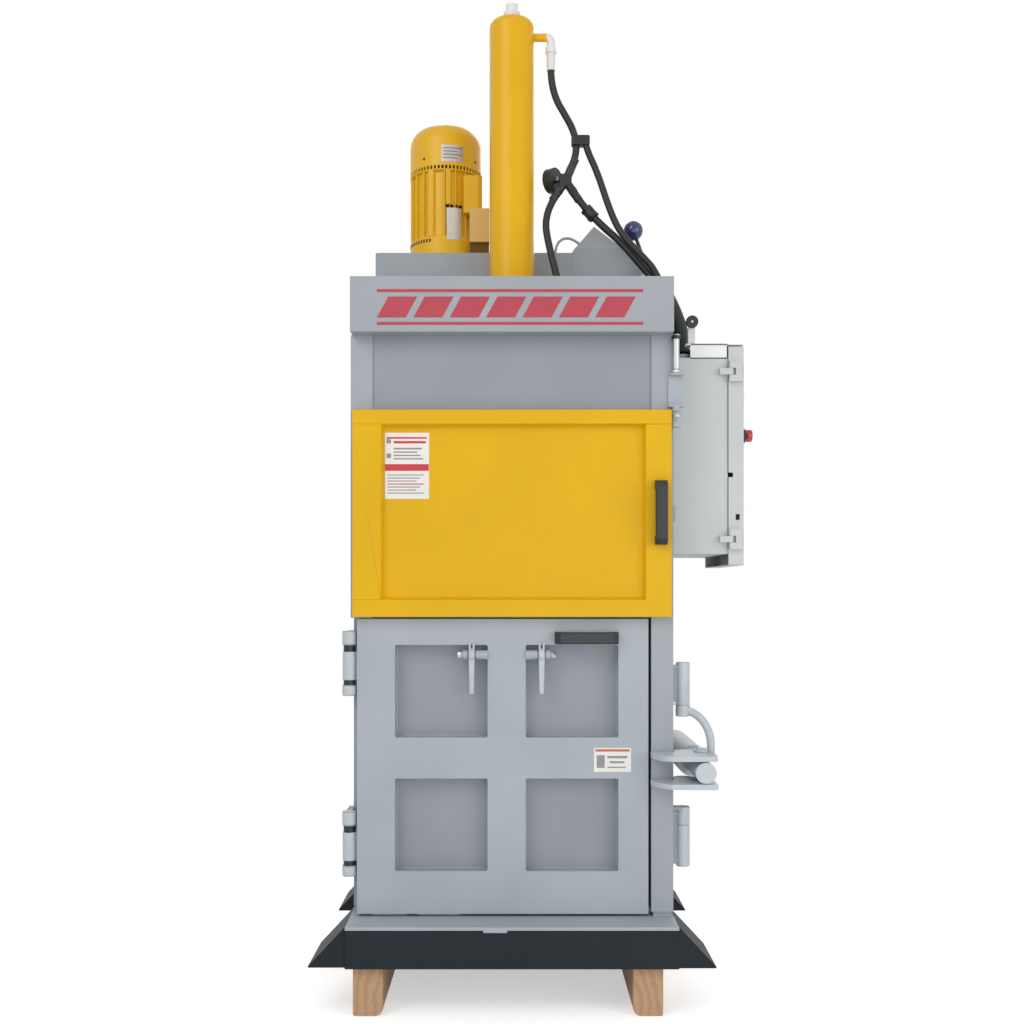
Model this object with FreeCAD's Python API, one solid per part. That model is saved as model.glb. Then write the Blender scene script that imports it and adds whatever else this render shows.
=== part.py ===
"""Upright recycling baler: a steel press body with a feed door above a bale door.

X runs to the machine's right, Y to its back and Z up, all in millimetres.  The front
plane of the bale door is Y = 0 while the pieces are modelled; export() then moves the
whole machine so that its origin is the centre of its footprint, on the floor.
"""
import math
import os

import FreeCAD
import Part

V = FreeCAD.Vector

# ---------------------------------------------------------------- driving dimensions
# Timber skids under the base
SKID_HEIGHT = 144.0
SKID_WIDTH = 88.0
SKID_LENGTH = 850.0
SKID_FRONT = -98.0
SKID_LEFT_X = -421.0
SKID_RIGHT_X = 398.0
SKID_INNER_ROUND = 26.0
SKID_OUTER_ROUND = 8.0

# Base frame and deck
BASE_WIDTH = 972.0
BASE_FRONT = -120.0
BASE_BACK = 780.0
BASE_HEIGHT = 112.0
BASE_FLANGE = 62.0
BASE_WEB = 8.0
JOIST_WIDTH = 70.0
ANCHOR_SPACING_X = 500.0
ANCHOR_HOLE_DIAMETER = 18.0
DECK_THICKNESS = 10.0
DECK_TAB_WIDTH = 70.0
DECK_TAB_X = -49.0
DECK_TAB_DROP = 6.0
WING_REACH = 108.0
WING_LENGTH = 248.0
WING_PLATE = 8.0
WING_SETBACK_LEFT = 6.0

# Press body
BODY_WIDTH = 968.0
BODY_BACK = 700.0
POST_WIDTH = 66.0
POST_DEPTH = 80.0
POST_WALL = 6.0
POST_FOOT_GAP = 14.0
CHAMBER_BACK = 620.0
WALL_THICKNESS = 8.0
WALL_RIB_HEIGHT = 60.0
WALL_RIB_COUNT = 5
WALL_RIB_DEPTH = 60.0
RIB_FOLD = 5.0
REAR_RIB_COUNT = 3
CROWN_PLATE = 8.0
CROWN_NOTCH_Y = (198.0, 275.0)
CROWN_NOTCH_DEPTH = 60.0
FLOOR_RIB_HEIGHT = 34.0
STRAP_SLOT_LEFT = (-306.0, -276.0)
STRAP_SLOT_MIDDLE = (-135.0, 123.0)
STRAP_SLOT_RIGHT = (257.0, 300.0)
SILL_HEIGHT = 50.0
LINTEL_HEIGHT = 42.0
UPPER_PANEL_THICKNESS = 6.0
UPPER_PANEL_SETBACK = 5.0

# Header and top plate
HEADER_WIDTH = 960.0
HEADER_FRONT = -50.0
HEADER_BACK = 74.0
HEADER_RISE = 228.0
HEADER_HEIGHT = 165.0
HEADER_PLATE = 8.0
TOP_PLATE_THICKNESS = 25.0

# Bale door
BALE_DOOR_LEFT = -465.0
BALE_DOOR_RIGHT = 409.0
BALE_DOOR_DEPTH = 70.0
BALE_DOOR_HEIGHT = 885.0
BALE_DOOR_FLOOR_GAP = 8.0
POCKET_SIZE = 278.0
POCKET_DEPTH = 46.0
POCKET_CORNER = 6.0
POCKET_LEFT_COLUMN = -351.0
POCKET_RIGHT_COLUMN = 41.0
POCKET_LOW_RISE = 128.0
POCKET_HIGH_DROP = 356.0
DOOR_BACK_GAP = 6.0

# Bale door hinges
HINGE_X = -490.0
HINGE_Y = 20.0
HINGE_DIAMETER = 40.0
HINGE_PIN_DIAMETER = 22.0
HINGE_BARREL_LENGTH = 85.0
HINGE_HIGH_DROP = 184.0
HINGE_LOW_RISE = 158.0
HINGE_CAP_HEIGHT = 42.0
HINGE_CAP_GAP = 20.0
HINGE_KNUCKLE_HEIGHT = 32.0
HINGE_KNUCKLE_GAP = 15.0
HINGE_LEAF = 12.0

# Door roller
ROLLER_DIAMETER = 28.0
ROLLER_WIDTH = 24.0
ROLLER_PIN_DIAMETER = 8.0
ROLLER_FROM_EDGE = 21.0
ROLLER_Y = 24.0

# Strap levers in the upper pockets
LEVER_PIN_DROP = 30.0
LEVER_PIN_Y = 4.0
LEVER_PIN_DIAMETER = 18.0
LEVER_PIN_LENGTH = 80.0
LEVER_BOSS_DIAMETER = 28.0
LEVER_BOSS_LENGTH = 36.0
LEVER_HEAD_RADIUS = 20.0
LEVER_LENGTH = 112.0
LEVER_THICKNESS = 24.0
LEVER_TIP = 12.0
LEVER_NUT_LENGTH = 14.0

# Pull handles
HANDLE_LENGTH = 190.0
HANDLE_WIDTH = 36.0
HANDLE_STANDOFF = 40.0
HANDLE_FOOT = 26.0
HANDLE_GRIP = 16.0
BALE_HANDLE_LEFT = 128.0
BALE_HANDLE_DROP = 57.0
FEED_HANDLE_X = 442.0
FEED_HANDLE_RISE = 214.0

# Feed door
FEED_DOOR_WIDTH = 950.0
FEED_DOOR_FRONT = -32.0
FEED_DOOR_DEPTH = 30.0
FEED_DOOR_GAP = 7.0
FEED_DOOR_HEIGHT = 616.0
FEED_STILE_LEFT = 85.0
FEED_STILE_RIGHT = 76.0
FEED_RAIL_TOP = 42.0
FEED_RAIL_BOTTOM = 50.0
FEED_RECESS = 22.0
FEED_BEVEL = 8.0
FEED_EDGE_ROUND = 8.0
FEED_SEAM = 1.5
FEED_HINGE_INSET_X = 9.0
FEED_HINGE_INSET_Y = 9.0
FEED_KNUCKLE_DIAMETER = 16.0
FEED_KNUCKLE_LENGTH = 24.0
FEED_PIN_DIAMETER = 8.0
FEED_HINGE_LOW = 150.0
FEED_HINGE_HIGH = 450.0
FEED_LEAF = 5.0

# Ram
CYLINDER_Y = 325.0
CYLINDER_DIAMETER = 146.0
CYLINDER_BORE = 120.0
CYLINDER_LENGTH = 1065.0
CYLINDER_SHOULDER = 26.0
SHOULDER_STEPS = 3
CYLINDER_FLANGE_DIAMETER = 206.0
CYLINDER_FLANGE_THICKNESS = 30.0
ROD_DIAMETER = 80.0
PISTON_LENGTH = 70.0
PISTON_END_GAP = 20.0
PLATEN_HEIGHT = 170.0
PLATEN_SIDE_GAP = 10.0
PLATEN_PLATE = 20.0
PLATEN_RISE = 20.0
RAM_STROKE = 650.0
PLUG_DIAMETER = 56.0
PLUG_HEIGHT = 54.0
PORT_DROP = 53.0
PORT_DIAMETER = 26.0
PORT_LENGTH = 34.0
PORT_BORE = 12.0
ELBOW_X = 127.0
ELBOW_DIAMETER = 30.0
SLEEVE_LENGTH = 74.0
SLEEVE_DIAMETER = 28.0
SLEEVE_RING_DIAMETER = 36.0

# Oil tank, valve cover and motor
TANK_LEFT = -458.0
TANK_RIGHT = 200.0
TANK_FRONT = 430.0
TANK_BACK = 690.0
TANK_HEIGHT = 340.0
TANK_WALL = 5.0
TANK_CORNER = 14.0
COVER_RIGHT = 475.5
COVER_APEX_X = 280.0
COVER_APEX_RISE = 114.0
COVER_HIP_RISE = 14.0
COVER_HIP_LEAN = 90.0
COVER_SLOPE_DROP = 215.0
MOTOR_X = -227.0
MOTOR_Y = 562.0
MOTOR_DIAMETER = 246.0
MOTOR_BODY_DIAMETER = 226.0
MOTOR_FOOT_HEIGHT = 62.0
MOTOR_BODY_HEIGHT = 222.0
MOTOR_BORE = 190.0
MOTOR_FIN_COUNT = 20
MOTOR_FIN_THICKNESS = 4.0
MOTOR_SHAFT_DIAMETER = 30.0
COWL_HEIGHT = 195.0
COWL_ROUND = 66.0
COWL_STEPS = 4
COWL_WALL = 3.0
COWL_VENT_HEIGHT = 26.0
COWL_VENT_COUNT = 14
FAN_DIAMETER = 190.0
FAN_HEIGHT = 40.0
FAN_BLADE_COUNT = 6
TERMINAL_BOX_SIZE = (62.0, 112.0, 140.0)
MANIFOLD_SIZE = (66.0, 34.0, 150.0)
MANIFOLD_OFFSET = 28.0
COVER_SHRINK = 0.04
ROTOR_CORE = 120.0

# Valve with its ball lever
VALVE_X = 449.0
VALVE_Y = 385.0
VALVE_BLOCK_SIZE = (50.0, 80.0, 245.0)
VALVE_PIVOT_RISE = 24.0
VALVE_PIN_DIAMETER = 10.0
VALVE_STEM_DIAMETER = 12.0
VALVE_STEM_LENGTH = 107.0
VALVE_LEAN = 20.0
VALVE_BALL_DIAMETER = 66.0
VALVE_BALL_STEPS = 8

# Electrical cabinet
CABINET_FRONT = 110.0
CABINET_LENGTH = 450.0
CABINET_DEPTH = 183.0
CABINET_DROP = 653.0
CABINET_HEIGHT = 606.0
CABINET_WALL = 3.0
LID_THICKNESS = 47.0
LID_WALL = 3.0
LID_OVERLAP_Z = 35.0
LID_OVERLAP_Y = 6.0
LID_GAP = 0.5
LID_HINGE_HEIGHT = 62.0
LID_HINGE_INSET = 14.0
LID_HINGE_DIAMETER = 14.0
LID_PIN_DIAMETER = 6.0
LID_LOCK_RISE = 251.0
ROOF_RISE = 42.0
ROOF_LEFT = 536.0
ROOF_THICKNESS = 3.0
ESTOP_Y = 200.0
ESTOP_RISE = 376.0
ESTOP_COLLAR = (44.0, 22.0)
ESTOP_BUTTON = (40.0, 18.0)
ESTOP_STEM = (16.0, 34.0)
ESTOP_TRAVEL = 4.0
PILOT_RISE = 490.0
PILOT_SIZE = (24.0, 20.0)
GLAND_X = 534.0
GLAND_Y = 178.0
GLAND_DIAMETER = 58.0
GLAND_HEIGHT = 20.0
SUPPLY_HOLE_DIAMETER = 25.0
SUPPLY_X = 640.0
SUPPLY_INSET = 58.0

# Switches beside the header
BRACKET_X = (468.0, 512.0)
BRACKET_RISE = 15.0
BRACKET_HEIGHT = 90.0
BRACKET_THICKNESS = 5.0
SWITCH_X = 490.0
SWITCH_Y = -15.0
SWITCH_DIAMETER = 20.0
SWITCH_LENGTH = 104.0
SWITCH_STUD = 17.0
PLUNGER_DROP = 60.0
TRAVEL_SWITCH_X = 556.0
TRAVEL_SWITCH_Y = 130.0
TRAVEL_BODY_SIZE = (22.0, 24.0, 54.0)
TRAVEL_ROLLER_DIAMETER = 38.0
TRAVEL_ROLLER_WIDTH = 12.0
STRIKE_RISE = 286.0
STRIKE_HEIGHT = 48.0

# Door lock: a yoke on a vertical shaft, pushed by a strut along the right side
LOCK_X = 518.0
LOCK_Y = 40.0
LOCK_SHAFT_DIAMETER = 27.0
LOCK_TUBE_DIAMETER = 40.0
LOCK_TUBE_TOP = (898.0, 1027.0)
LOCK_TUBE_LOW = (410.0, 590.0)
LOCK_TUBE_CAP = 8.0
LOCK_PAD = 10.0
LOCK_PLATE = 16.0
LOCK_PLATE_LOW_Z = 663.0
LOCK_PLATE_HIGH_Z = 745.0
LOCK_NOSE_X = 415.0
LOCK_NOSE_ROUND = 90.0
LOCK_PLATE_RIGHT = 602.0
LOCK_PLATE_FRONT = -112.0
LOCK_BOSS_RADIUS = 30.0
LOCK_POST_GAP = 4.0
LOCK_PIN_X = 565.0
LOCK_PIN_Y = -8.0
LOCK_PIN_DIAMETER = 20.0
LOCK_PIN_HEAD = 44.0
LOCK_ARCH_BAR = 24.0
LOCK_ARCH_REACH = 74.0
LOCK_ROD_DIAMETER = 61.0
LOCK_SLOT_REACH = 20.0
STRUT_DIAMETER = 98.0
STRUT_FRONT = 160.0
STRUT_BACK = 590.0
STRUT_WALL = 8.0
STRUT_PIVOT_Y = 640.0
STRUT_PIN_DIAMETER = 24.0
STRUT_EYE = 30.0

# Hoses: a route point holds X, Y and its share of the height between the route's two levels
HOSE_DIAMETER = 23.0
BRANCH_DIAMETER = 24.0
CABLE_DIAMETER = 22.0
CONDUIT_DIAMETER = 50.0
CONDUIT_RISE = 171.0
GAUGE_DIAMETER = 80.0
GAUGE_DEPTH = 30.0
GAUGE_REACH = 50.0
GAUGE_TURN = 35.0
GAUGE_STEM = 14.0

TEE_X = 175.0
TEE_Y = 325.0
TEE_RISE = 545.0
TEE_SIZE = (38.0, 32.0, 38.0)
TEE_OUTLET = (28.0, 36.0)
HOSE_SEAT = 4.0
ARC_SHARE = 0.45
HOSE_UPPER = [(128.0, 325.0, 0.907), (143.0, 322.0, 0.742), (171.0, 318.0, 0.605), (198.0, 317.0, 0.474),
              (211.0, 319.0, 0.337), (205.0, 324.0, 0.203)]
HOSE_LOWER = [(128.0, 319.0, 0.863), (108.0, 305.0, 0.735), (114.0, 289.0, 0.608), (153.0, 268.0, 0.294),
              (157.0, 266.0, 0.157), (157.0, 266.0, 0.0)]
HOSE_BRANCH = [(225.0, 322.0, 0.803), (283.0, 309.0, 0.619), (352.0, 286.0, 0.437), (400.0, 270.0, 0.272),
               (444.0, 260.0, 0.128), (481.5, 252.0, -0.006)]
CABLE_BRANCH = [(236.0, 316.0, 1.360), (243.0, 315.0, 1.264), (277.0, 306.0, 1.060), (316.0, 282.0, 0.705),
                (350.0, 258.0, 0.484), (425.0, 238.0, 0.256), (455.0, 232.0, 0.160), (480.5, 228.0, 0.0)]
CONDUIT_ROUTE = [(480.0, 240.0, 1.0), (510.0, 231.0, 0.720), (530.0, 212.0, 0.440), (536.0, 193.0, 0.190)]
WRAP_RISE = 655.0
WRAP_PLACE = (223.0, 318.0)
WRAP_SIZE = (60.0, 36.0)
WRAP_HEIGHT = 34.0

# Clearances
FACE_GAP = 0.5
RUN_FIT = 0.05
MOVE_GAP = 4.0

# ---------------------------------------------------------------- derived places
DECK_TOP = SKID_HEIGHT + BASE_HEIGHT + DECK_THICKNESS
BASE_TOP = SKID_HEIGHT + BASE_HEIGHT
BODY_HALF = BODY_WIDTH / 2
POST_INNER = BODY_HALF - POST_WIDTH
CHAMBER_HALF = POST_INNER - WALL_THICKNESS
DOOR_SEAT_Y = BALE_DOOR_DEPTH + DOOR_BACK_GAP
FLOOR_TOP = DECK_TOP + FLOOR_RIB_HEIGHT
BALE_DOOR_BOTTOM = DECK_TOP + BALE_DOOR_FLOOR_GAP
BALE_DOOR_TOP = BALE_DOOR_BOTTOM + BALE_DOOR_HEIGHT
FEED_BOTTOM = BALE_DOOR_TOP + FEED_DOOR_GAP
FEED_TOP = FEED_BOTTOM + FEED_DOOR_HEIGHT
FEED_HALF = FEED_DOOR_WIDTH / 2
FEED_DOOR_BACK = FEED_DOOR_FRONT + FEED_DOOR_DEPTH
SILL_BOTTOM = BALE_DOOR_TOP + 3.0
HEADER_BOTTOM = FEED_TOP + HEADER_RISE
HEADER_TOP = HEADER_BOTTOM + HEADER_HEIGHT
TOP_PLATE_Z = HEADER_BOTTOM
TOP_PLATE_TOP = TOP_PLATE_Z + TOP_PLATE_THICKNESS
TANK_TOP = TOP_PLATE_TOP + TANK_HEIGHT
POCKET_LOW_ROW = BALE_DOOR_BOTTOM + POCKET_LOW_RISE
POCKET_HIGH_ROW = BALE_DOOR_TOP - POCKET_HIGH_DROP
POCKET_TOP = POCKET_HIGH_ROW + POCKET_SIZE
BALE_HANDLE_Z = BALE_DOOR_TOP - BALE_HANDLE_DROP
HINGE_HIGH_BARREL_Z = BALE_DOOR_TOP - HINGE_HIGH_DROP
HINGE_LOW_BARREL_Z = BALE_DOOR_BOTTOM + HINGE_LOW_RISE
FEED_HANDLE_BOTTOM = FEED_BOTTOM + FEED_HANDLE_RISE
STRIKE_Z = (FEED_BOTTOM + STRIKE_RISE, FEED_BOTTOM + STRIKE_RISE + STRIKE_HEIGHT)
BRACKET_Z = (FEED_TOP + BRACKET_RISE, FEED_TOP + BRACKET_RISE + BRACKET_HEIGHT)
PLATEN_BOTTOM = FEED_TOP + PLATEN_RISE
CYLINDER_TOP = TOP_PLATE_TOP + CYLINDER_LENGTH
LEVER_PIN_Z = POCKET_TOP - LEVER_PIN_DROP
FEED_HINGE_X = -FEED_HALF + FEED_HINGE_INSET_X
FEED_HINGE_Y = FEED_DOOR_BACK - FEED_HINGE_INSET_Y
CABINET_BOTTOM = HEADER_BOTTOM - CABINET_DROP
LID_HINGE_LOW = CABINET_BOTTOM + LID_HINGE_INSET
LID_HINGE_HIGH = CABINET_BOTTOM + CABINET_HEIGHT - LID_HINGE_INSET - LID_HINGE_HEIGHT
LID_LOCK_Z = CABINET_BOTTOM + LID_LOCK_RISE
ESTOP_Z = CABINET_BOTTOM + ESTOP_RISE
PILOT_Z = CABINET_BOTTOM + PILOT_RISE
GLAND_TOP = CABINET_BOTTOM + CABINET_HEIGHT + GLAND_HEIGHT
LID_LEFT = BODY_HALF + CABINET_DEPTH + LID_GAP
LID_RIGHT = LID_LEFT + LID_THICKNESS
LID_FRONT = CABINET_FRONT - LID_OVERLAP_Y
LID_BACK = CABINET_FRONT + CABINET_LENGTH + LID_OVERLAP_Y
LID_HINGE_Y = LID_FRONT - LID_HINGE_DIAMETER / 2 - 1.0
LID_HINGE_X = LID_LEFT + LID_HINGE_DIAMETER / 2
LOCK_MID_Z = (LOCK_PLATE_LOW_Z + LOCK_PLATE + LOCK_PLATE_HIGH_Z) / 2
TEE_PLACE = (TEE_X, TEE_Y, TOP_PLATE_TOP + TEE_RISE)
CONDUIT_TOP = TOP_PLATE_TOP + CONDUIT_RISE

SHAPES = {}
CORDS = set()


# ---------------------------------------------------------------- shape helpers
def box(x, y, z):
    """A box between the two ends of each of three ranges."""
    return Part.makeBox(x[1] - x[0], y[1] - y[0], z[1] - z[0], V(x[0], y[0], z[0]))


def rod(diameter, start, end):
    """A round bar from one point to another."""
    a, b = V(*start), V(*end)
    return Part.makeCylinder(diameter / 2, (b - a).Length, a, b - a)


def tube(outer, inner, start, end):
    """A round bar with a bore right through it."""
    return rod(outer, start, end).cut(rod(inner, start, end))


def extruded(points, along):
    """A prism: a flat outline through the points, swept along a vector."""
    face = Part.Face(Part.makePolygon([V(*p) for p in points + points[:1]]))
    return face.extrude(V(*along))


def fused(shapes):
    """All the shapes as one solid, with leftover seams removed."""
    whole = shapes[0].multiFuse(shapes[1:]) if len(shapes) > 1 else shapes[0]
    return whole.removeSplitter()


def cut_all(shape, tools):
    """The shape with every tool taken away."""
    for tool in tools:
        shape = shape.cut(tool)
    return shape


def turned(profile, centre):
    """A solid of revolution: (radius, height) pairs from the axis up, round an upright axis."""
    x, y, z = centre
    points = [V(x + radius, y, z + height) for radius, height in profile]
    face = Part.Face(Part.makePolygon(points + points[:1]))
    return face.revolve(V(x, y, z), V(0, 0, 1), 360)


def shoulder(radius, height, round_off, steps):
    """The profile of a round bar whose upper edge is eased in a few straight steps."""
    profile = [(0, 0), (radius, 0)]
    for step in range(steps + 1):
        angle = math.pi / 2 * step / steps
        profile.append((radius - round_off * (1 - math.cos(angle)),
                        height - round_off * (1 - math.sin(angle))))
    return profile + [(0, height)]


def bevelled(shape, size, keep=lambda edge: True):
    """The shape with the round edges that pass a test bevelled."""
    rims = [e for e in shape.Edges if isinstance(e.Curve, Part.Circle) and keep(e)]
    return shape.makeChamfer(size, rims)


def edges_along(shape, axis, keep=lambda edge: True):
    """The straight edges that run along one axis and pass a test."""
    found = []
    for edge in shape.Edges:
        if not isinstance(edge.Curve, Part.Line):
            continue
        way = edge.tangentAt(edge.FirstParameter)
        if abs(getattr(way, axis)) > 0.999 and keep(edge):
            found.append(edge)
    return found


def rounded(shape, radius, axis, keep=lambda edge: True):
    """The shape with its straight edges along one axis rounded."""
    return shape.makeFillet(radius, edges_along(shape, axis, keep))


def keep(name, shape, cord=False):
    """Store a finished piece under its node name."""
    SHAPES[name] = shape
    if cord:
        CORDS.add(name)


# ---------------------------------------------------------------- base
def skid(centre_x, inner_side):
    """A sawn timber runner, with a large round along its inner lower edge."""
    half = SKID_WIDTH / 2
    bar = box((centre_x - half, centre_x + half), (SKID_FRONT, SKID_FRONT + SKID_LENGTH),
              (0, SKID_HEIGHT))

    def lower(side):
        return lambda e: e.CenterOfMass.z < 1 and (e.CenterOfMass.x - centre_x) * side > 0

    bar = rounded(bar, SKID_INNER_ROUND, "y", lower(inner_side))
    return rounded(bar, SKID_OUTER_ROUND, "y", lower(-inner_side))


def base_frame():
    """A ring of inward-facing channels with two joists and four anchor holes."""
    half = BASE_WIDTH / 2
    low, high = SKID_HEIGHT, BASE_TOP
    ring = box((-half, half), (BASE_FRONT, BASE_BACK), (low, high))
    edge = BASE_FLANGE
    inner = box((-half + edge, half - edge), (BASE_FRONT + edge, BASE_BACK - edge),
                (low - 1, high + 1))
    web = BASE_WEB
    groove = box((-half + web, half - web), (BASE_FRONT + web, BASE_BACK - web),
                 (low + web, high - web))
    ring = cut_all(ring, [inner, groove])
    joists = []
    for share in (1 / 3, 2 / 3):
        y = BASE_FRONT + share * (BASE_BACK - BASE_FRONT)
        joist = box((-half + web, half - web), (y - JOIST_WIDTH / 2, y + JOIST_WIDTH / 2),
                    (low + web, high - web))
        hollow = box((-half, half), (y - JOIST_WIDTH / 2 + web, y + JOIST_WIDTH),
                     (low + 2 * web, high - 2 * web))
        joists.append(joist.cut(hollow))
    frame = fused([ring] + joists)
    r = ANCHOR_HOLE_DIAMETER
    holes = [rod(r, (x, y, low - 1), (x, y, low + web + 1))
             for x in (-ANCHOR_SPACING_X / 2, ANCHOR_SPACING_X / 2)
             for y in (BASE_FRONT + edge / 2, BASE_BACK - edge / 2)]
    return cut_all(frame, holes)


def wing(side, front):
    """A folded gusset: a foot strip, an upright on the beam and a slope between them."""
    root = side * BASE_WIDTH / 2
    tip = root + side * WING_REACH
    low, high = SKID_HEIGHT + 3.0, DECK_TOP
    outline = [(root, front, low), (tip, front, low), (tip, front, low + WING_PLATE / 2),
               (root, front, high)]
    body = extruded(outline, (0, WING_LENGTH, 0))
    t = WING_PLATE
    hollow = extruded([(root + side * t, front - 1, low + t), (tip - side * 3 * t, front - 1, low + t),
                       (root + side * t, front - 1, high - 3 * t)], (0, WING_LENGTH - t + 1, 0))
    hollow.translate(V(0, t + 1, 0))
    return body.cut(hollow)


def deck():
    """The deck plate: front ledge, strap channels' bottom and a small tab over the beam."""
    half = BASE_WIDTH / 2
    plate = box((-half, half), (BASE_FRONT, BASE_BACK), (BASE_TOP, DECK_TOP))
    tab_half = DECK_TAB_WIDTH / 2
    tab = box((DECK_TAB_X - tab_half, DECK_TAB_X + tab_half), (BASE_FRONT - 2.0, BASE_FRONT),
              (DECK_TOP - DECK_THICKNESS - DECK_TAB_DROP, DECK_TOP))
    return fused([plate, tab])


def floor_rib(left, right):
    """One floor bar; the straps of a bale run in the slots between the bars."""
    bar = box((left, right), (DOOR_SEAT_Y, CHAMBER_BACK), (DECK_TOP, FLOOR_TOP))
    return bar


def build_base():
    """Skids, frame, wings, deck and floor."""
    keep("timber_skid_left", skid(SKID_LEFT_X, 1))
    keep("timber_skid_right", skid(SKID_RIGHT_X, -1))
    keep("base_frame", base_frame())
    back = BASE_BACK - WING_LENGTH
    keep("wing_front_left", wing(-1, BASE_FRONT + WING_SETBACK_LEFT))
    keep("wing_front_right", wing(1, BASE_FRONT))
    keep("wing_rear_left", wing(-1, back))
    keep("wing_rear_right", wing(1, back))
    keep("deck_plate", deck())
    edges = [-CHAMBER_HALF, *STRAP_SLOT_LEFT, *STRAP_SLOT_MIDDLE, *STRAP_SLOT_RIGHT, CHAMBER_HALF]
    for number, (left, right) in enumerate(zip(edges[::2], edges[1::2]), 1):
        keep(f"floor_rib_{number}", floor_rib(left, right))


# ---------------------------------------------------------------- press body
def post(x, y, z):
    """A hollow square post, closed at its ends, standing on a slightly smaller foot."""
    t = POST_WALL
    outer = box(x, y, (z[0] + POST_FOOT_GAP, z[1]))
    inner = box((x[0] + t, x[1] - t), (y[0] + t, y[1] - t), (z[0] + POST_FOOT_GAP + t, z[1] - t))
    foot = box((x[0] + t, x[1] - t), (y[0] + t, y[1] - t), (z[0], z[0] + POST_FOOT_GAP))
    return fused([outer.cut(inner), foot])


def left_front_post():
    """The hinge post: stepped, because the bale door closes in front of its lower part."""
    x = (-BODY_HALF, -POST_INNER)
    lower = post(x, (DOOR_SEAT_Y, DOOR_SEAT_Y + POST_DEPTH), (DECK_TOP, HEADER_BOTTOM))
    upper = box(x, (0, DOOR_SEAT_Y), (SILL_BOTTOM, HEADER_BOTTOM))
    t = POST_WALL
    inner = box((x[0] + t, x[1] - t), (t, DOOR_SEAT_Y - t), (SILL_BOTTOM + t, HEADER_BOTTOM - t))
    return fused([lower, upper.cut(inner)])


def folded_rib(x, y, z, web):
    """A rib folded like a tray: a web on the outside and flanges back to the sheet."""
    t = RIB_FOLD
    block = box(x, y, z)
    if web == "left":
        hollow = box((x[0] + t, x[1] + 1), (y[0] - 1, y[1] + 1), (z[0] + t, z[1] - t))
    elif web == "right":
        hollow = box((x[0] - 1, x[1] - t), (y[0] - 1, y[1] + 1), (z[0] + t, z[1] - t))
    else:
        hollow = box((x[0] + t, x[1] - t), (y[0] - 1, y[1] - t), (z[0] - 1, z[1] + 1))
    return block.cut(hollow)


def side_wall(side, front):
    """A chamber side: one sheet with level ribs between the posts."""
    sheet_x = sorted((side * CHAMBER_HALF, side * POST_INNER))
    sheet = box(sheet_x, (DOOR_SEAT_Y, CHAMBER_BACK), (DECK_TOP, HEADER_BOTTOM))
    rib_x = sorted((side * POST_INNER, side * (POST_INNER + WALL_RIB_DEPTH)))
    pitch = (HEADER_BOTTOM - DECK_TOP) / WALL_RIB_COUNT
    ribs = []
    for number in range(WALL_RIB_COUNT):
        low = DECK_TOP + (number + 0.5) * pitch - WALL_RIB_HEIGHT / 2
        ribs.append(folded_rib(rib_x, (front, CHAMBER_BACK), (low, low + WALL_RIB_HEIGHT),
                               "left" if side < 0 else "right"))
    return fused([sheet] + ribs)


def rear_wall():
    """The chamber back: a sheet on the floor bars with upright ribs behind it."""
    back = CHAMBER_BACK + WALL_THICKNESS
    sheet = box((-POST_INNER, POST_INNER), (CHAMBER_BACK, back), (FLOOR_TOP, HEADER_BOTTOM))
    pitch = 2 * POST_INNER / (REAR_RIB_COUNT + 1)
    ribs = []
    for number in range(1, REAR_RIB_COUNT + 1):
        middle = -POST_INNER + number * pitch
        x = (middle - WALL_RIB_HEIGHT / 2, middle + WALL_RIB_HEIGHT / 2)
        rib = folded_rib(x, (back, BODY_BACK), (FLOOR_TOP, HEADER_BOTTOM), "back")
        ribs.append(rib)
    return fused([sheet] + ribs)


def cross_tube(z, y):
    """A hollow bar across the front between the posts."""
    t = POST_WALL
    bar = box((-POST_INNER, POST_INNER), y, z)
    inner = box((-POST_INNER + t, POST_INNER - t), (y[0] + t, y[1] - t), (z[0] + t, z[1] - t))
    return bar.cut(inner)


def header_beam():
    """The front beam over the press: a deep channel, open to the back."""
    half = HEADER_WIDTH / 2
    t = HEADER_PLATE
    z = (HEADER_BOTTOM, HEADER_TOP)
    beam = box((-half, half), (HEADER_FRONT, HEADER_BACK), z)
    hollow = box((-half + t, half - t), (HEADER_FRONT + t, HEADER_BACK + 1), (z[0] + t, z[1] - t))
    return beam.cut(hollow)


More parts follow.
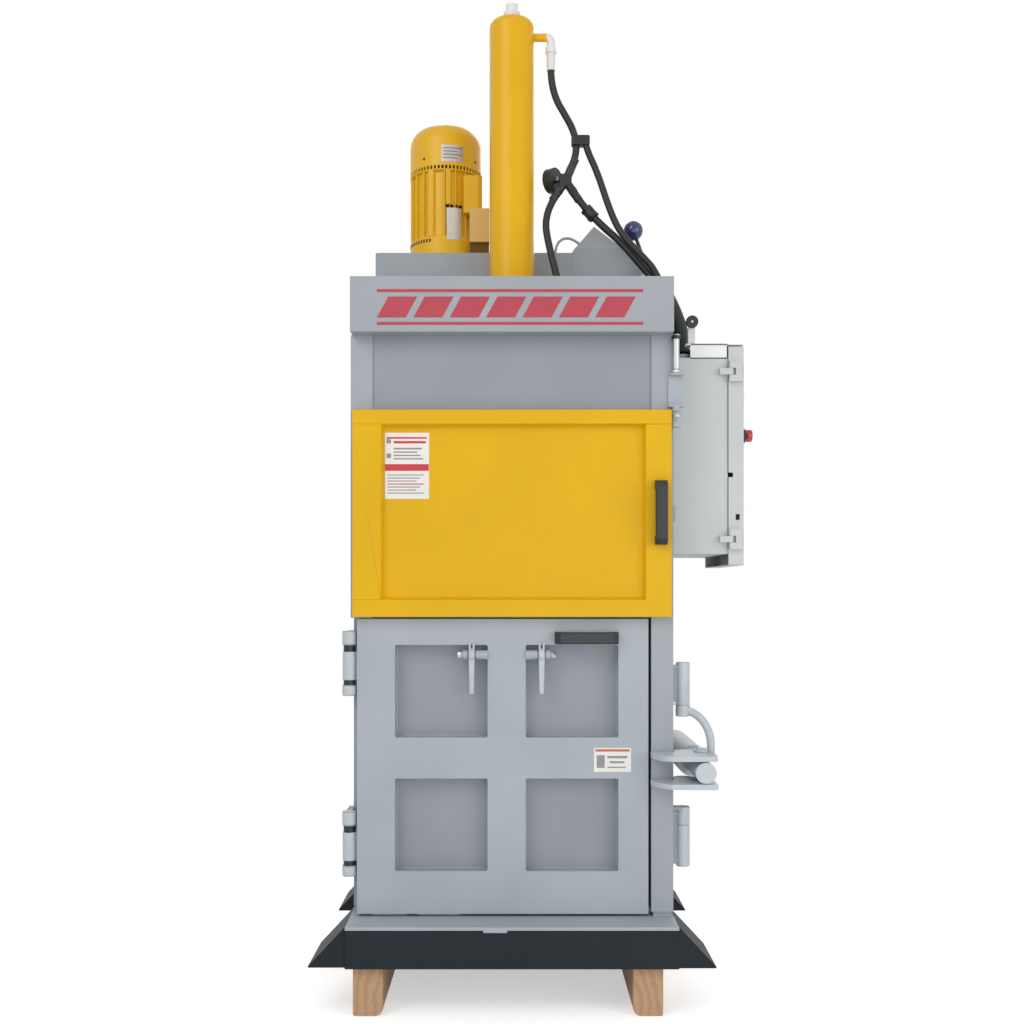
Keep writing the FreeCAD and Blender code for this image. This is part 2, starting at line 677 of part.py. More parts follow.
def build_body():
    """Posts, walls, cross members, header beam and top plate."""
    z = (DECK_TOP, HEADER_BOTTOM)
    keep("post_front_left", left_front_post())
    keep("post_front_right", post((POST_INNER, BODY_HALF), (0, POST_DEPTH), z))
    rear = (CHAMBER_BACK, CHAMBER_BACK + POST_DEPTH)
    keep("post_rear_left", post((-BODY_HALF, -POST_INNER), rear, z))
    keep("post_rear_right", post((POST_INNER, BODY_HALF), rear, z))
    keep("wall_left", side_wall(-1, DOOR_SEAT_Y + POST_DEPTH))
    keep("wall_right", side_wall(1, POST_DEPTH))
    keep("wall_rear", rear_wall())
    panel_back = UPPER_PANEL_SETBACK + UPPER_PANEL_THICKNESS
    keep("feed_sill", cross_tube((SILL_BOTTOM, SILL_BOTTOM + SILL_HEIGHT), (panel_back, DOOR_SEAT_Y)))
    lintel_bottom = FEED_TOP - LINTEL_HEIGHT
    keep("feed_lintel", cross_tube((lintel_bottom, FEED_TOP), (panel_back, DOOR_SEAT_Y)))
    keep("upper_panel", box((-POST_INNER, POST_INNER), (UPPER_PANEL_SETBACK, panel_back),
                            (lintel_bottom, HEADER_BOTTOM)))
    keep("header_beam", header_beam())
    plate = box((-BODY_HALF, BODY_HALF), (HEADER_BACK, BODY_BACK), (TOP_PLATE_Z, TOP_PLATE_TOP))
    hole = rod(ROD_DIAMETER + 2 * MOVE_GAP, (0, CYLINDER_Y, TOP_PLATE_Z - 1),
               (0, CYLINDER_Y, TOP_PLATE_TOP + 1))
    keep("top_plate", plate.cut(hole))
    for name, side in (("left", -1), ("right", 1)):
        x = sorted((side * BODY_HALF, side * (BODY_HALF - CROWN_PLATE)))
        keep(f"crown_side_{name}", box(x, (HEADER_BACK, BODY_BACK), (TOP_PLATE_TOP, HEADER_TOP)))


# ---------------------------------------------------------------- doors
def pull_handle(start, along, front):
    """A cast bow handle: a rounded grip between two feet on the door's face."""
    length, half = HANDLE_LENGTH, HANDLE_WIDTH / 2
    outer = front - HANDLE_STANDOFF
    profile = [(0, front, 0), (0, outer + HANDLE_GRIP, 0), (HANDLE_GRIP, outer, 0),
               (length - HANDLE_GRIP, outer, 0), (length, outer + HANDLE_GRIP, 0), (length, front, 0),
               (length - HANDLE_FOOT, front, 0), (length - HANDLE_FOOT, outer + HANDLE_GRIP, 0),
               (HANDLE_FOOT, outer + HANDLE_GRIP, 0), (HANDLE_FOOT, front, 0)]
    bow = extruded(profile, (0, 0, 2 * half))
    bow.translate(V(0, 0, -half))
    grip_edges = edges_along(bow, "x", lambda e: e.CenterOfMass.y < outer + 1)
    bow = bow.makeFillet(HANDLE_GRIP / 3, grip_edges)
    if along == "z":
        bow.rotate(V(0, 0, 0), V(0, 1, 0), -90)
    bow.translate(V(*start))
    return bow


def pocket(left, low):
    """The space of one square recess in the bale door, with rounded upright corners."""
    space = box((left, left + POCKET_SIZE), (-1, POCKET_DEPTH), (low, low + POCKET_SIZE))
    return rounded(space, POCKET_CORNER, "y")


def bale_door():
    """The pressed bale door: four recesses, a roller slot and the hinge leaves' seats."""
    door = box((BALE_DOOR_LEFT, BALE_DOOR_RIGHT), (0, BALE_DOOR_DEPTH),
               (BALE_DOOR_BOTTOM, BALE_DOOR_TOP))
    for left in (POCKET_LEFT_COLUMN, POCKET_RIGHT_COLUMN):
        for low in (POCKET_LOW_ROW, POCKET_HIGH_ROW):
            door = door.cut(pocket(left, low))
    x = BALE_DOOR_RIGHT - ROLLER_FROM_EDGE
    wide = ROLLER_WIDTH / 2 + 1.5
    reach = ROLLER_DIAMETER / 2 + MOVE_GAP
    z = roller_axis_z()
    slot = box((x - wide, x + wide), (ROLLER_Y - reach, ROLLER_Y + reach),
               (BALE_DOOR_BOTTOM - 1, z + reach))
    pin_reach = ROLLER_WIDTH / 2 + 9.0
    pin_hole = rod(ROLLER_PIN_DIAMETER, (x - pin_reach, ROLLER_Y, z), (x + pin_reach, ROLLER_Y, z))
    return cut_all(door, [slot, pin_hole])


def roller_axis_z():
    """The height of the door roller's axis, with the roller just clear of the deck."""
    return DECK_TOP + ROLLER_DIAMETER / 2 + 0.3


def hinge_barrel(barrel_z):
    """The door's half of a bale door hinge: a bored barrel with a leaf on the door's edge."""
    z = (barrel_z, barrel_z + HINGE_BARREL_LENGTH)
    barrel = rod(HINGE_DIAMETER, (HINGE_X, HINGE_Y, z[0]), (HINGE_X, HINGE_Y, z[1]))
    leaf = box((HINGE_X, BALE_DOOR_LEFT), (HINGE_Y - HINGE_LEAF / 2, HINGE_Y + HINGE_LEAF / 2), z)
    bore = rod(HINGE_PIN_DIAMETER + 2 * RUN_FIT, (HINGE_X, HINGE_Y, z[0] - 1),
               (HINGE_X, HINGE_Y, z[1] + 1))
    return fused([barrel, leaf]).cut(bore)


def hinge_spans(barrel_z):
    """The heights of the lower knuckle and of the upper cap beside a hinge barrel."""
    top = barrel_z + HINGE_BARREL_LENGTH + HINGE_CAP_GAP
    low = barrel_z - HINGE_KNUCKLE_GAP
    return (low - HINGE_KNUCKLE_HEIGHT, low), (top, top + HINGE_CAP_HEIGHT)


def hinge_bracket(barrel_z):
    """The post's half: a strap on the post's side that carries the knuckle and the cap."""
    low, high = hinge_spans(barrel_z)
    pieces = []
    for z in (low, high):
        knuckle = rod(HINGE_DIAMETER + 2, (HINGE_X, HINGE_Y, z[0]), (HINGE_X, HINGE_Y, z[1]))
        arm = box((HINGE_X - HINGE_LEAF, -BODY_HALF), (HINGE_Y, DOOR_SEAT_Y + POST_DEPTH / 2), z)
        pieces += [knuckle, arm]
    strap = box((-BODY_HALF - HINGE_LEAF / 2, -BODY_HALF), (DOOR_SEAT_Y, DOOR_SEAT_Y + POST_DEPTH / 2),
                (low[0], high[1]))
    bore = rod(HINGE_PIN_DIAMETER, (HINGE_X, HINGE_Y, low[0] - 1),
               (HINGE_X, HINGE_Y, high[1] - HINGE_LEAF / 2))
    return fused(pieces + [strap]).cut(bore)


def hinge_pin(barrel_z):
    """The round pin through one bale door hinge."""
    low, high = hinge_spans(barrel_z)
    return rod(HINGE_PIN_DIAMETER, (HINGE_X, HINGE_Y, low[0]), (HINGE_X, HINGE_Y, high[1] - HINGE_LEAF / 2))


def strap_lever(side, wall_x):
    """A hanging lever: a round head on its pin, twin ears above and a tapered tail below."""
    start = wall_x + side * LEVER_BOSS_LENGTH
    x = sorted((start, start + side * LEVER_THICKNESS))
    half = LEVER_THICKNESS / 2
    y, z = LEVER_PIN_Y, LEVER_PIN_Z
    head = rod(2 * LEVER_HEAD_RADIUS, (x[0], y, z), (x[1], y, z))
    tail = extruded([(x[0], y - half, z), (x[0], y + half, z), (x[0], y + LEVER_TIP / 2, z - LEVER_LENGTH),
                     (x[0], y - LEVER_TIP / 2, z - LEVER_LENGTH)], (x[1] - x[0], 0, 0))
    tip = rod(LEVER_TIP, (x[0], y, z - LEVER_LENGTH), (x[1], y, z - LEVER_LENGTH))
    slot = box((x[0] + half * 0.7, x[1] - half * 0.7), (y - 60, y + 60),
               (z + LEVER_PIN_DIAMETER * 0.7, z + 60))
    bore = rod(LEVER_PIN_DIAMETER + 2 * RUN_FIT, (x[0] - 1, y, z), (x[1] + 1, y, z))
    return cut_all(fused([head, tail, tip]), [slot, bore])


def lever_pin(side, wall_x):
    """The stepped pin of a strap lever, welded to the side of a recess."""
    y, z = LEVER_PIN_Y, LEVER_PIN_Z
    boss_end = wall_x + side * (LEVER_BOSS_LENGTH - 0.5)
    lever_end = boss_end + side * (LEVER_THICKNESS + 1.0)
    end = wall_x + side * LEVER_PIN_LENGTH
    foot = box(sorted((wall_x, wall_x + side * LEVER_NUT_LENGTH)),
               (y - LEVER_BOSS_DIAMETER / 3, POCKET_DEPTH), (z - 12, z + 12))
    return fused([rod(LEVER_BOSS_DIAMETER, (wall_x, y, z), (boss_end, y, z)),
                  rod(LEVER_PIN_DIAMETER, (boss_end, y, z), (end, y, z)),
                  rod(LEVER_BOSS_DIAMETER, (lever_end, y, z), (lever_end + side * LEVER_NUT_LENGTH, y, z)),
                  foot])


def build_bale_door():
    """The bale door with its handle, levers, roller and hinges."""
    keep("bale_door", bale_door())
    keep("bale_door_handle", pull_handle((BALE_HANDLE_LEFT, 0, BALE_HANDLE_Z), "x", 0))
    for name, side, wall_x in (("left", -1, POCKET_LEFT_COLUMN + POCKET_SIZE),
                               ("right", 1, POCKET_RIGHT_COLUMN)):
        keep(f"strap_lever_{name}", strap_lever(side, wall_x))
        keep(f"strap_lever_pin_{name}", lever_pin(side, wall_x))
    x = BALE_DOOR_RIGHT - ROLLER_FROM_EDGE
    z = roller_axis_z()
    half = ROLLER_WIDTH / 2
    keep("door_roller", tube(ROLLER_DIAMETER, ROLLER_PIN_DIAMETER + 2 * RUN_FIT, (x - half, ROLLER_Y, z),
                             (x + half, ROLLER_Y, z)))
    reach = half + 9.0
    keep("door_roller_pin", rod(ROLLER_PIN_DIAMETER, (x - reach, ROLLER_Y, z), (x + reach, ROLLER_Y, z)))
    for name, barrel_z in (("lower", HINGE_LOW_BARREL_Z), ("upper", HINGE_HIGH_BARREL_Z)):
        keep(f"bale_hinge_{name}_barrel", hinge_barrel(barrel_z))
        keep(f"bale_hinge_{name}_bracket", hinge_bracket(barrel_z))
        keep(f"bale_hinge_{name}_pin", hinge_pin(barrel_z))


def feed_door():
    """The folded feed door: a bevelled recess, seams at the rails and notches for hinges."""
    x = (-FEED_HALF, FEED_HALF)
    y = (FEED_DOOR_FRONT, FEED_DOOR_BACK)
    door = box(x, y, (FEED_BOTTOM, FEED_TOP))
    door = rounded(door, FEED_EDGE_ROUND, "z",
                   lambda e: e.CenterOfMass.x < x[0] + 1 and e.CenterOfMass.y > y[1] - 1)
    left, right = x[0] + FEED_STILE_LEFT, x[1] - FEED_STILE_RIGHT
    low, high = FEED_BOTTOM + FEED_RAIL_BOTTOM, FEED_TOP - FEED_RAIL_TOP
    bevel, floor = FEED_BEVEL, y[0] + FEED_RECESS
    rims = []
    for inset, depth in ((0, y[0] - 0.01), (bevel, floor)):
        corners = [(left + inset, depth, low + inset), (right - inset, depth, low + inset),
                   (right - inset, depth, high - inset), (left + inset, depth, high - inset)]
        rims.append(Part.makePolygon([V(*c) for c in corners + corners[:1]]))
    recess = Part.makeLoft(rims, True, True)
    seam = FEED_SEAM
    seams = [box((x[0] - 1, x[1] + 1), (y[0] - 1, y[0] + seam), (high - seam, high)),
             box((x[0] - 1, left), (y[0] - 1, y[0] + seam), (low, low + seam))]
    notches = []
    for offset in (FEED_HINGE_LOW, FEED_HINGE_HIGH):
        z = FEED_BOTTOM + offset
        notches.append(box((x[0] - 1, FEED_HINGE_X + FEED_KNUCKLE_DIAMETER),
                           (FEED_HINGE_Y - FEED_KNUCKLE_DIAMETER / 2 - 3, y[1] + 1),
                           (z - MOVE_GAP, z + 3 * FEED_KNUCKLE_LENGTH + MOVE_GAP)))
    return cut_all(door, [recess] + seams + notches)


def feed_knuckles(z):
    """The door's two knuckles of a feed hinge with the web that welds them to the door."""
    pieces = []
    length = FEED_KNUCKLE_LENGTH
    half = FEED_KNUCKLE_DIAMETER / 2
    for low in (z, z + 2 * length):
        span = (low + 0.3, low + length - 0.3)
        pieces.append(rod(FEED_KNUCKLE_DIAMETER, (FEED_HINGE_X, FEED_HINGE_Y, span[0]),
                          (FEED_HINGE_X, FEED_HINGE_Y, span[1])))
        pieces.append(box((FEED_HINGE_X, FEED_HINGE_X + FEED_KNUCKLE_DIAMETER),
                          (FEED_HINGE_Y - half, FEED_HINGE_Y - half + FEED_LEAF), span))
    return pieces


def feed_hinge_leaf(z):
    """The post's half of a feed hinge: the middle knuckle on a leaf."""
    length = FEED_KNUCKLE_LENGTH
    span = (z + length, z + 2 * length)
    knuckle = rod(FEED_KNUCKLE_DIAMETER, (FEED_HINGE_X, FEED_HINGE_Y, span[0]),
                  (FEED_HINGE_X, FEED_HINGE_Y, span[1]))
    half = FEED_LEAF / 2
    leaf = box((FEED_HINGE_X - half, FEED_HINGE_X + half), (FEED_HINGE_Y, 0), span)
    bore = rod(FEED_PIN_DIAMETER, (FEED_HINGE_X, FEED_HINGE_Y, z),
               (FEED_HINGE_X, FEED_HINGE_Y, z + 3 * length))
    return fused([knuckle, leaf]).cut(bore)


def build_feed_door():
    """The feed door with its handle and two hidden hinges."""
    door = feed_door()
    heights = {"lower": FEED_BOTTOM + FEED_HINGE_LOW, "upper": FEED_BOTTOM + FEED_HINGE_HIGH}
    for name, z in heights.items():
        top = z + 3 * FEED_KNUCKLE_LENGTH
        bore = rod(FEED_PIN_DIAMETER + 2 * RUN_FIT, (FEED_HINGE_X, FEED_HINGE_Y, z - 1),
                   (FEED_HINGE_X, FEED_HINGE_Y, top + 1))
        door = fused([door] + feed_knuckles(z)).cut(bore)
        keep(f"feed_hinge_{name}_leaf", feed_hinge_leaf(z))
        keep(f"feed_hinge_{name}_pin", rod(FEED_PIN_DIAMETER, (FEED_HINGE_X, FEED_HINGE_Y, z),
                                           (FEED_HINGE_X, FEED_HINGE_Y, top)))
    keep("feed_door", door)
    keep("feed_door_handle", pull_handle((FEED_HANDLE_X, FEED_DOOR_FRONT, FEED_HANDLE_BOTTOM), "z", 0))


# ---------------------------------------------------------------- ram
def build_ram():
    """The upright cylinder with its plug, port and sleeve, the piston rod and the platen."""
    y = CYLINDER_Y
    flange_top = TOP_PLATE_TOP + CYLINDER_FLANGE_THICKNESS
    barrel = turned(shoulder(CYLINDER_DIAMETER / 2, CYLINDER_LENGTH, CYLINDER_SHOULDER, SHOULDER_STEPS),
                    (0, y, TOP_PLATE_TOP))
    flange = rod(CYLINDER_FLANGE_DIAMETER, (0, y, TOP_PLATE_TOP), (0, y, flange_top))
    wall = (CYLINDER_DIAMETER - CYLINDER_BORE) / 2
    ceiling = CYLINDER_TOP - 2 * wall
    gland_top = flange_top + 2 * CYLINDER_FLANGE_THICKNESS
    bore = rod(CYLINDER_BORE, (0, y, gland_top), (0, y, ceiling))
    gland = rod(ROD_DIAMETER + 2 * RUN_FIT, (0, y, TOP_PLATE_TOP - 1), (0, y, gland_top + 1))
    keep("cylinder_barrel", cut_all(fused([barrel, flange]), [bore, gland]))

    half = PLUG_HEIGHT / 2
    plug = fused([rod(PLUG_DIAMETER, (0, y, CYLINDER_TOP), (0, y, CYLINDER_TOP + half)),
                  rod(PLUG_DIAMETER * 0.7, (0, y, CYLINDER_TOP), (0, y, CYLINDER_TOP + PLUG_HEIGHT))])
    keep("cylinder_plug", plug)

    z = CYLINDER_TOP - PORT_DROP
    start = CYLINDER_DIAMETER / 2 - 0.5
    port = rod(PORT_DIAMETER, (start, y, z), (ELBOW_X - ELBOW_DIAMETER / 2, y, z))
    seat = rod(CYLINDER_DIAMETER, (0, y, z - PORT_DIAMETER), (0, y, z + PORT_DIAMETER))
    half = ELBOW_DIAMETER / 2
    body = box((ELBOW_X - half, ELBOW_X + half), (y - half, y + half), (z - half, z + half))
    drop = rod(ELBOW_DIAMETER - 2, (ELBOW_X, y, z), (ELBOW_X, y, z - PORT_LENGTH))
    keep("port_elbow", fused([port.cut(seat), body, drop]))

    top = z - PORT_LENGTH
    ring = rod(SLEEVE_RING_DIAMETER, (ELBOW_X, y, top - 18), (ELBOW_X, y, top))
    sleeve = rod(SLEEVE_DIAMETER, (ELBOW_X, y, top - SLEEVE_LENGTH), (ELBOW_X, y, top))
    keep("hose_sleeve", fused([ring, sleeve]))

    piston_top = ceiling - PISTON_END_GAP
    platen_top = PLATEN_BOTTOM + PLATEN_HEIGHT
    piston = rod(CYLINDER_BORE - 2 * RUN_FIT, (0, y, piston_top - PISTON_LENGTH), (0, y, piston_top))
    shank = rod(ROD_DIAMETER, (0, y, platen_top), (0, y, piston_top))
    keep("piston_rod", fused([piston, shank]))
    keep("press_platen", platen(platen_top))


def platen(top):
    """The press plate: a flat sole with a rim and a broad cross of webs under the rod."""
    x = (-CHAMBER_HALF + PLATEN_SIDE_GAP, CHAMBER_HALF - PLATEN_SIDE_GAP)
    y = (DOOR_SEAT_Y + PLATEN_SIDE_GAP, CHAMBER_BACK - PLATEN_SIDE_GAP)
    t = PLATEN_PLATE
    web = ROD_DIAMETER / 2 + t
    block = box(x, y, (PLATEN_BOTTOM, top))
    wells = []
    for wx in ((x[0] + t, -web), (web, x[1] - t)):
        for wy in ((y[0] + t, CYLINDER_Y - web), (CYLINDER_Y + web, y[1] - t)):
            wells.append(box(wx, wy, (PLATEN_BOTTOM + t, top + 1)))
    return cut_all(block, wells)


# ---------------------------------------------------------------- power pack
def tank():
    """The oil tank: a closed welded box with its free upright corners rounded."""
    def shell(inset):
        inside = box((TANK_LEFT + inset, TANK_RIGHT - inset), (TANK_FRONT + inset, TANK_BACK - inset),
                     (TOP_PLATE_TOP + inset, TANK_TOP - inset))
        return rounded(inside, TANK_CORNER - inset, "z", lambda e: e.CenterOfMass.x < 0)

    return shell(0).cut(shell(TANK_WALL))


def valve_cover():
    """The gabled cover beside the tank, with one long slope and a hipped front."""
    apex = TANK_TOP + COVER_APEX_RISE
    outline = [(TANK_RIGHT, 0, TOP_PLATE_TOP), (COVER_RIGHT, 0, TOP_PLATE_TOP),
               (COVER_RIGHT, 0, apex - COVER_SLOPE_DROP), (COVER_APEX_X, 0, apex), (TANK_RIGHT, 0, TANK_TOP)]
    hip = TANK_TOP + COVER_HIP_RISE

    def gable(inset):
        body = extruded(outline, (0, TANK_BACK - TANK_FRONT, 0))
        body.translate(V(0, TANK_FRONT, 0))
        lean = extruded([(0, TANK_FRONT - 1, hip), (0, TANK_FRONT + COVER_HIP_LEAN, apex + 1),
                         (0, TANK_FRONT - 1, apex + 1)], (BASE_WIDTH, 0, 0))
        body = body.cut(lean).Solids[0]
        if inset:
            body.scale(1 - inset, body.CenterOfMass)
        return body

    return gable(0).cut(gable(COVER_SHRINK))


def motor_body():
    """The cast motor: a bell foot with vents, a finned body with pads and a terminal box."""
    x, y = MOTOR_X, MOTOR_Y
    foot_top = TANK_TOP + MOTOR_FOOT_HEIGHT
    body_top = foot_top + MOTOR_BODY_HEIGHT
    rim = MOTOR_FIN_THICKNESS * 2
    pieces = [rod(MOTOR_DIAMETER, (x, y, TANK_TOP), (x, y, foot_top)),
              rod(MOTOR_BODY_DIAMETER, (x, y, TANK_TOP), (x, y, body_top)),
              rod(MOTOR_DIAMETER, (x, y, body_top - rim), (x, y, body_top))]
    reach = MOTOR_DIAMETER / 2
    half = MOTOR_FIN_THICKNESS / 2
    for number in range(MOTOR_FIN_COUNT):
        fin = box((x, x + reach - 1), (y - half, y + half), (foot_top, body_top))
        fin.rotate(V(x, y, 0), V(0, 0, 1), number * 360 / MOTOR_FIN_COUNT)
        pieces.append(fin)
    for angle in (-112, -68):
        pad = box((x, x + reach), (y - 4 * half, y + 4 * half), (foot_top, body_top))
        pad.rotate(V(x, y, 0), V(0, 0, 1), angle)
        pieces.append(pad)
    size = TERMINAL_BOX_SIZE
    right = x + reach
    pieces.append(box((right - size[0], right), (y - reach - 6, y - reach - 6 + size[1]),
                      (body_top - size[2] + 28, body_top - rim)))
    body = fused(pieces)
    vents = []
    for number in range(COWL_VENT_COUNT):
        vent = box((x + reach - 2 * rim, x + reach + 1), (y - rim, y + rim),
                   (foot_top - 2 * rim - 6, foot_top - 6))
        vent.rotate(V(x, y, 0), V(0, 0, 1), (number + 0.5) * 360 / COWL_VENT_COUNT)
        vents.append(vent)
    core = rod(ROTOR_CORE + 2 * MOVE_GAP, (x, y, foot_top), (x, y, body_top - 5 * rim))
    bearing = rod(MOTOR_SHAFT_DIAMETER + 2 * RUN_FIT, (x, y, TANK_TOP + rim), (x, y, body_top + 1))
    return cut_all(body, vents + [core, bearing])


def motor_cowl():
    """The domed fan cowl with a ring of vents round its foot."""
    x, y = MOTOR_X, MOTOR_Y
    low = TANK_TOP + MOTOR_FOOT_HEIGHT + MOTOR_BODY_HEIGHT

    def dome(inset):
        return turned(shoulder(MOTOR_DIAMETER / 2 - inset, COWL_HEIGHT, COWL_ROUND - inset, COWL_STEPS),
                      (x, y, low - inset))

    cowl = dome(0).cut(dome(COWL_WALL))
    half = COWL_VENT_HEIGHT / 4
    reach = MOTOR_DIAMETER / 2
    vents = []
    for number in range(COWL_VENT_COUNT):
        vent = box((x + reach - 20, x + reach + 5), (y - half, y + half),
                   (low + COWL_VENT_HEIGHT, low + 2 * COWL_VENT_HEIGHT))
        vent.rotate(V(x, y, 0), V(0, 0, 1), (number + 0.5) * 360 / COWL_VENT_COUNT)
        vents.append(vent)
    return cut_all(cowl, vents)


def motor_rotor():
    """The motor's shaft and core with the cooling fan on its upper end."""
    x, y = MOTOR_X, MOTOR_Y
    body_top = TANK_TOP + MOTOR_FOOT_HEIGHT + MOTOR_BODY_HEIGHT
    rim = MOTOR_FIN_THICKNESS * 2
    fan_low = body_top + COWL_VENT_HEIGHT / 2
    fan_top = fan_low + FAN_HEIGHT
    foot_top = TANK_TOP + MOTOR_FOOT_HEIGHT
    pieces = [rod(MOTOR_SHAFT_DIAMETER, (x, y, TANK_TOP + 2 * rim), (x, y, fan_top)),
              rod(ROTOR_CORE, (x, y, foot_top + MOVE_GAP), (x, y, body_top - 5 * rim - MOVE_GAP)),
              rod(FAN_DIAMETER, (x, y, fan_low), (x, y, fan_low + COWL_WALL))]
    for number in range(FAN_BLADE_COUNT):
        blade = box((x, x + FAN_DIAMETER / 2), (y - COWL_WALL / 2, y + COWL_WALL / 2), (fan_low, fan_top))
        blade.rotate(V(x, y, 0), V(0, 0, 1), number * 360 / FAN_BLADE_COUNT)
        pieces.append(blade)
    return fused(pieces)


def build_power_pack():
    """Tank, cover, motor, manifold and the lever valve."""
    keep("oil_tank", tank())
    keep("valve_cover", valve_cover())
    keep("motor_body", motor_body())
    keep("motor_cowl", motor_cowl())
    keep("motor_rotor", motor_rotor())
    size = MANIFOLD_SIZE
    right = MOTOR_X + MOTOR_DIAMETER / 2 + MANIFOLD_OFFSET
    keep("manifold_block", box((right - size[0], right), (TANK_FRONT + 2, TANK_FRONT + 2 + size[1]),
                               (TANK_TOP, TANK_TOP + size[2])))
    x, y = VALVE_X, VALVE_Y
    size = VALVE_BLOCK_SIZE
    top = TOP_PLATE_TOP + size[2]
    pivot = top + VALVE_PIVOT_RISE
    hub = VALVE_PIN_DIAMETER * 2.4
    ear = VALVE_PIN_DIAMETER
    block = [box((x - size[0] / 2, x + size[0] / 2), (y - size[1] / 2, y + size[1] / 2),
                 (TOP_PLATE_TOP, top))]
    inner = hub / 3
    for side in (-1, 1):
        span = sorted((y + side * (inner + FACE_GAP), y + side * (inner + FACE_GAP + ear)))
        block.append(box((x - hub / 2, x + hub / 2), span, (top, pivot)))
        block.append(rod(hub, (x, span[0], pivot), (x, span[1], pivot)))
    block.append(rod(VALVE_PIN_DIAMETER, (x, y - inner - ear, pivot), (x, y + inner + ear, pivot)))
    keep("valve_block", fused(block))
    lean = math.radians(VALVE_LEAN)

    def along(reach):
        return x - reach * math.sin(lean), y, pivot + reach * math.cos(lean)

    radius = VALVE_BALL_DIAMETER / 2
    stem = rod(VALVE_STEM_DIAMETER, (x, y, pivot), along(VALVE_STEM_LENGTH + 0.75 * radius))
    lever = fused([rod(hub, (x, y - inner, pivot), (x, y + inner, pivot)), stem])
    bore = rod(VALVE_PIN_DIAMETER + 2 * RUN_FIT, (x, y - hub, pivot), (x, y + hub, pivot))
    keep("valve_lever", lever.cut(bore))
    turns = [math.pi * step / VALVE_BALL_STEPS for step in range(VALVE_BALL_STEPS + 1)]
    profile = [(radius * math.sin(turn), -radius * math.cos(turn)) for turn in turns]
    ball = turned(profile, along(VALVE_STEM_LENGTH + radius))
    keep("valve_ball", ball.cut(stem))


# ---------------------------------------------------------------- door lock
def lock_plate(low):
    """One yoke plate: a rounded nose over the post, a straight front and a boss at the shaft."""
    nose_back = -LOCK_POST_GAP
    a = V(LOCK_NOSE_X, nose_back, low)
    b = V(LOCK_NOSE_X + 0.14 * LOCK_NOSE_ROUND, nose_back - 0.72 * LOCK_NOSE_ROUND, low)
    c = V(LOCK_NOSE_X + 0.6 * LOCK_NOSE_ROUND, LOCK_PLATE_FRONT, low)
    back = LOCK_Y + LOCK_ARCH_BAR / 2
    left = BODY_HALF + LOCK_POST_GAP
    corners = [c, V(LOCK_PLATE_RIGHT, LOCK_PLATE_FRONT, low), V(LOCK_PLATE_RIGHT, back, low),
               V(LOCK_X, back, low), V(left, LOCK_Y, low), V(left, nose_back, low), a]
    edges = [Part.Arc(a, b, c).toShape()]
    edges += [Part.LineSegment(p, q).toShape() for p, q in zip(corners, corners[1:])]
    plate = Part.Face(Part.Wire(edges)).extrude(V(0, 0, LOCK_PLATE))
    boss = rod(2 * LOCK_BOSS_RADIUS, (LOCK_X, LOCK_Y, low), (LOCK_X, LOCK_Y, low + LOCK_PLATE))
    plate = rounded(fused([plate, boss]), LOCK_PLATE / 2, "z",
                    lambda e: e.CenterOfMass.x > LOCK_PLATE_RIGHT - 1)
    holes = [rod(LOCK_SHAFT_DIAMETER, (LOCK_X, LOCK_Y, low - 1), (LOCK_X, LOCK_Y, low + LOCK_PLATE + 1)),
             rod(LOCK_PIN_DIAMETER, (LOCK_PIN_X, LOCK_PIN_Y, low - 1),
                 (LOCK_PIN_X, LOCK_PIN_Y, low + LOCK_PLATE + 1))]
    return cut_all(plate, holes)


def lock_arch():
    """The bent bar from the collar under the upper tube, over and down to the upper plate."""
    half = LOCK_ARCH_BAR / 2
    top = LOCK_TUBE_TOP[0] - FACE_GAP
    plate_top = LOCK_PLATE_HIGH_Z + LOCK_PLATE
    centre_z = top - half - LOCK_ARCH_REACH
    outer = LOCK_ARCH_REACH + half
    ring = tube(2 * outer, 2 * (outer - LOCK_ARCH_BAR), (LOCK_X, LOCK_Y - half, centre_z),
                (LOCK_X, LOCK_Y + half, centre_z))
    quarter = ring.common(box((LOCK_X, LOCK_X + outer + 1), (LOCK_Y - half, LOCK_Y + half),
                              (centre_z, centre_z + outer + 1)))
    leg = box((LOCK_X + outer - LOCK_ARCH_BAR, LOCK_X + outer), (LOCK_Y - half, LOCK_Y + half),
              (plate_top, centre_z))
    collar = rod(LOCK_TUBE_DIAMETER, (LOCK_X, LOCK_Y, top - LOCK_ARCH_BAR), (LOCK_X, LOCK_Y, top))
    hole = rod(LOCK_SHAFT_DIAMETER, (LOCK_X, LOCK_Y, top - 3 * half), (LOCK_X, LOCK_Y, top + 1))
    return fused([quarter, leg, collar]).cut(hole)


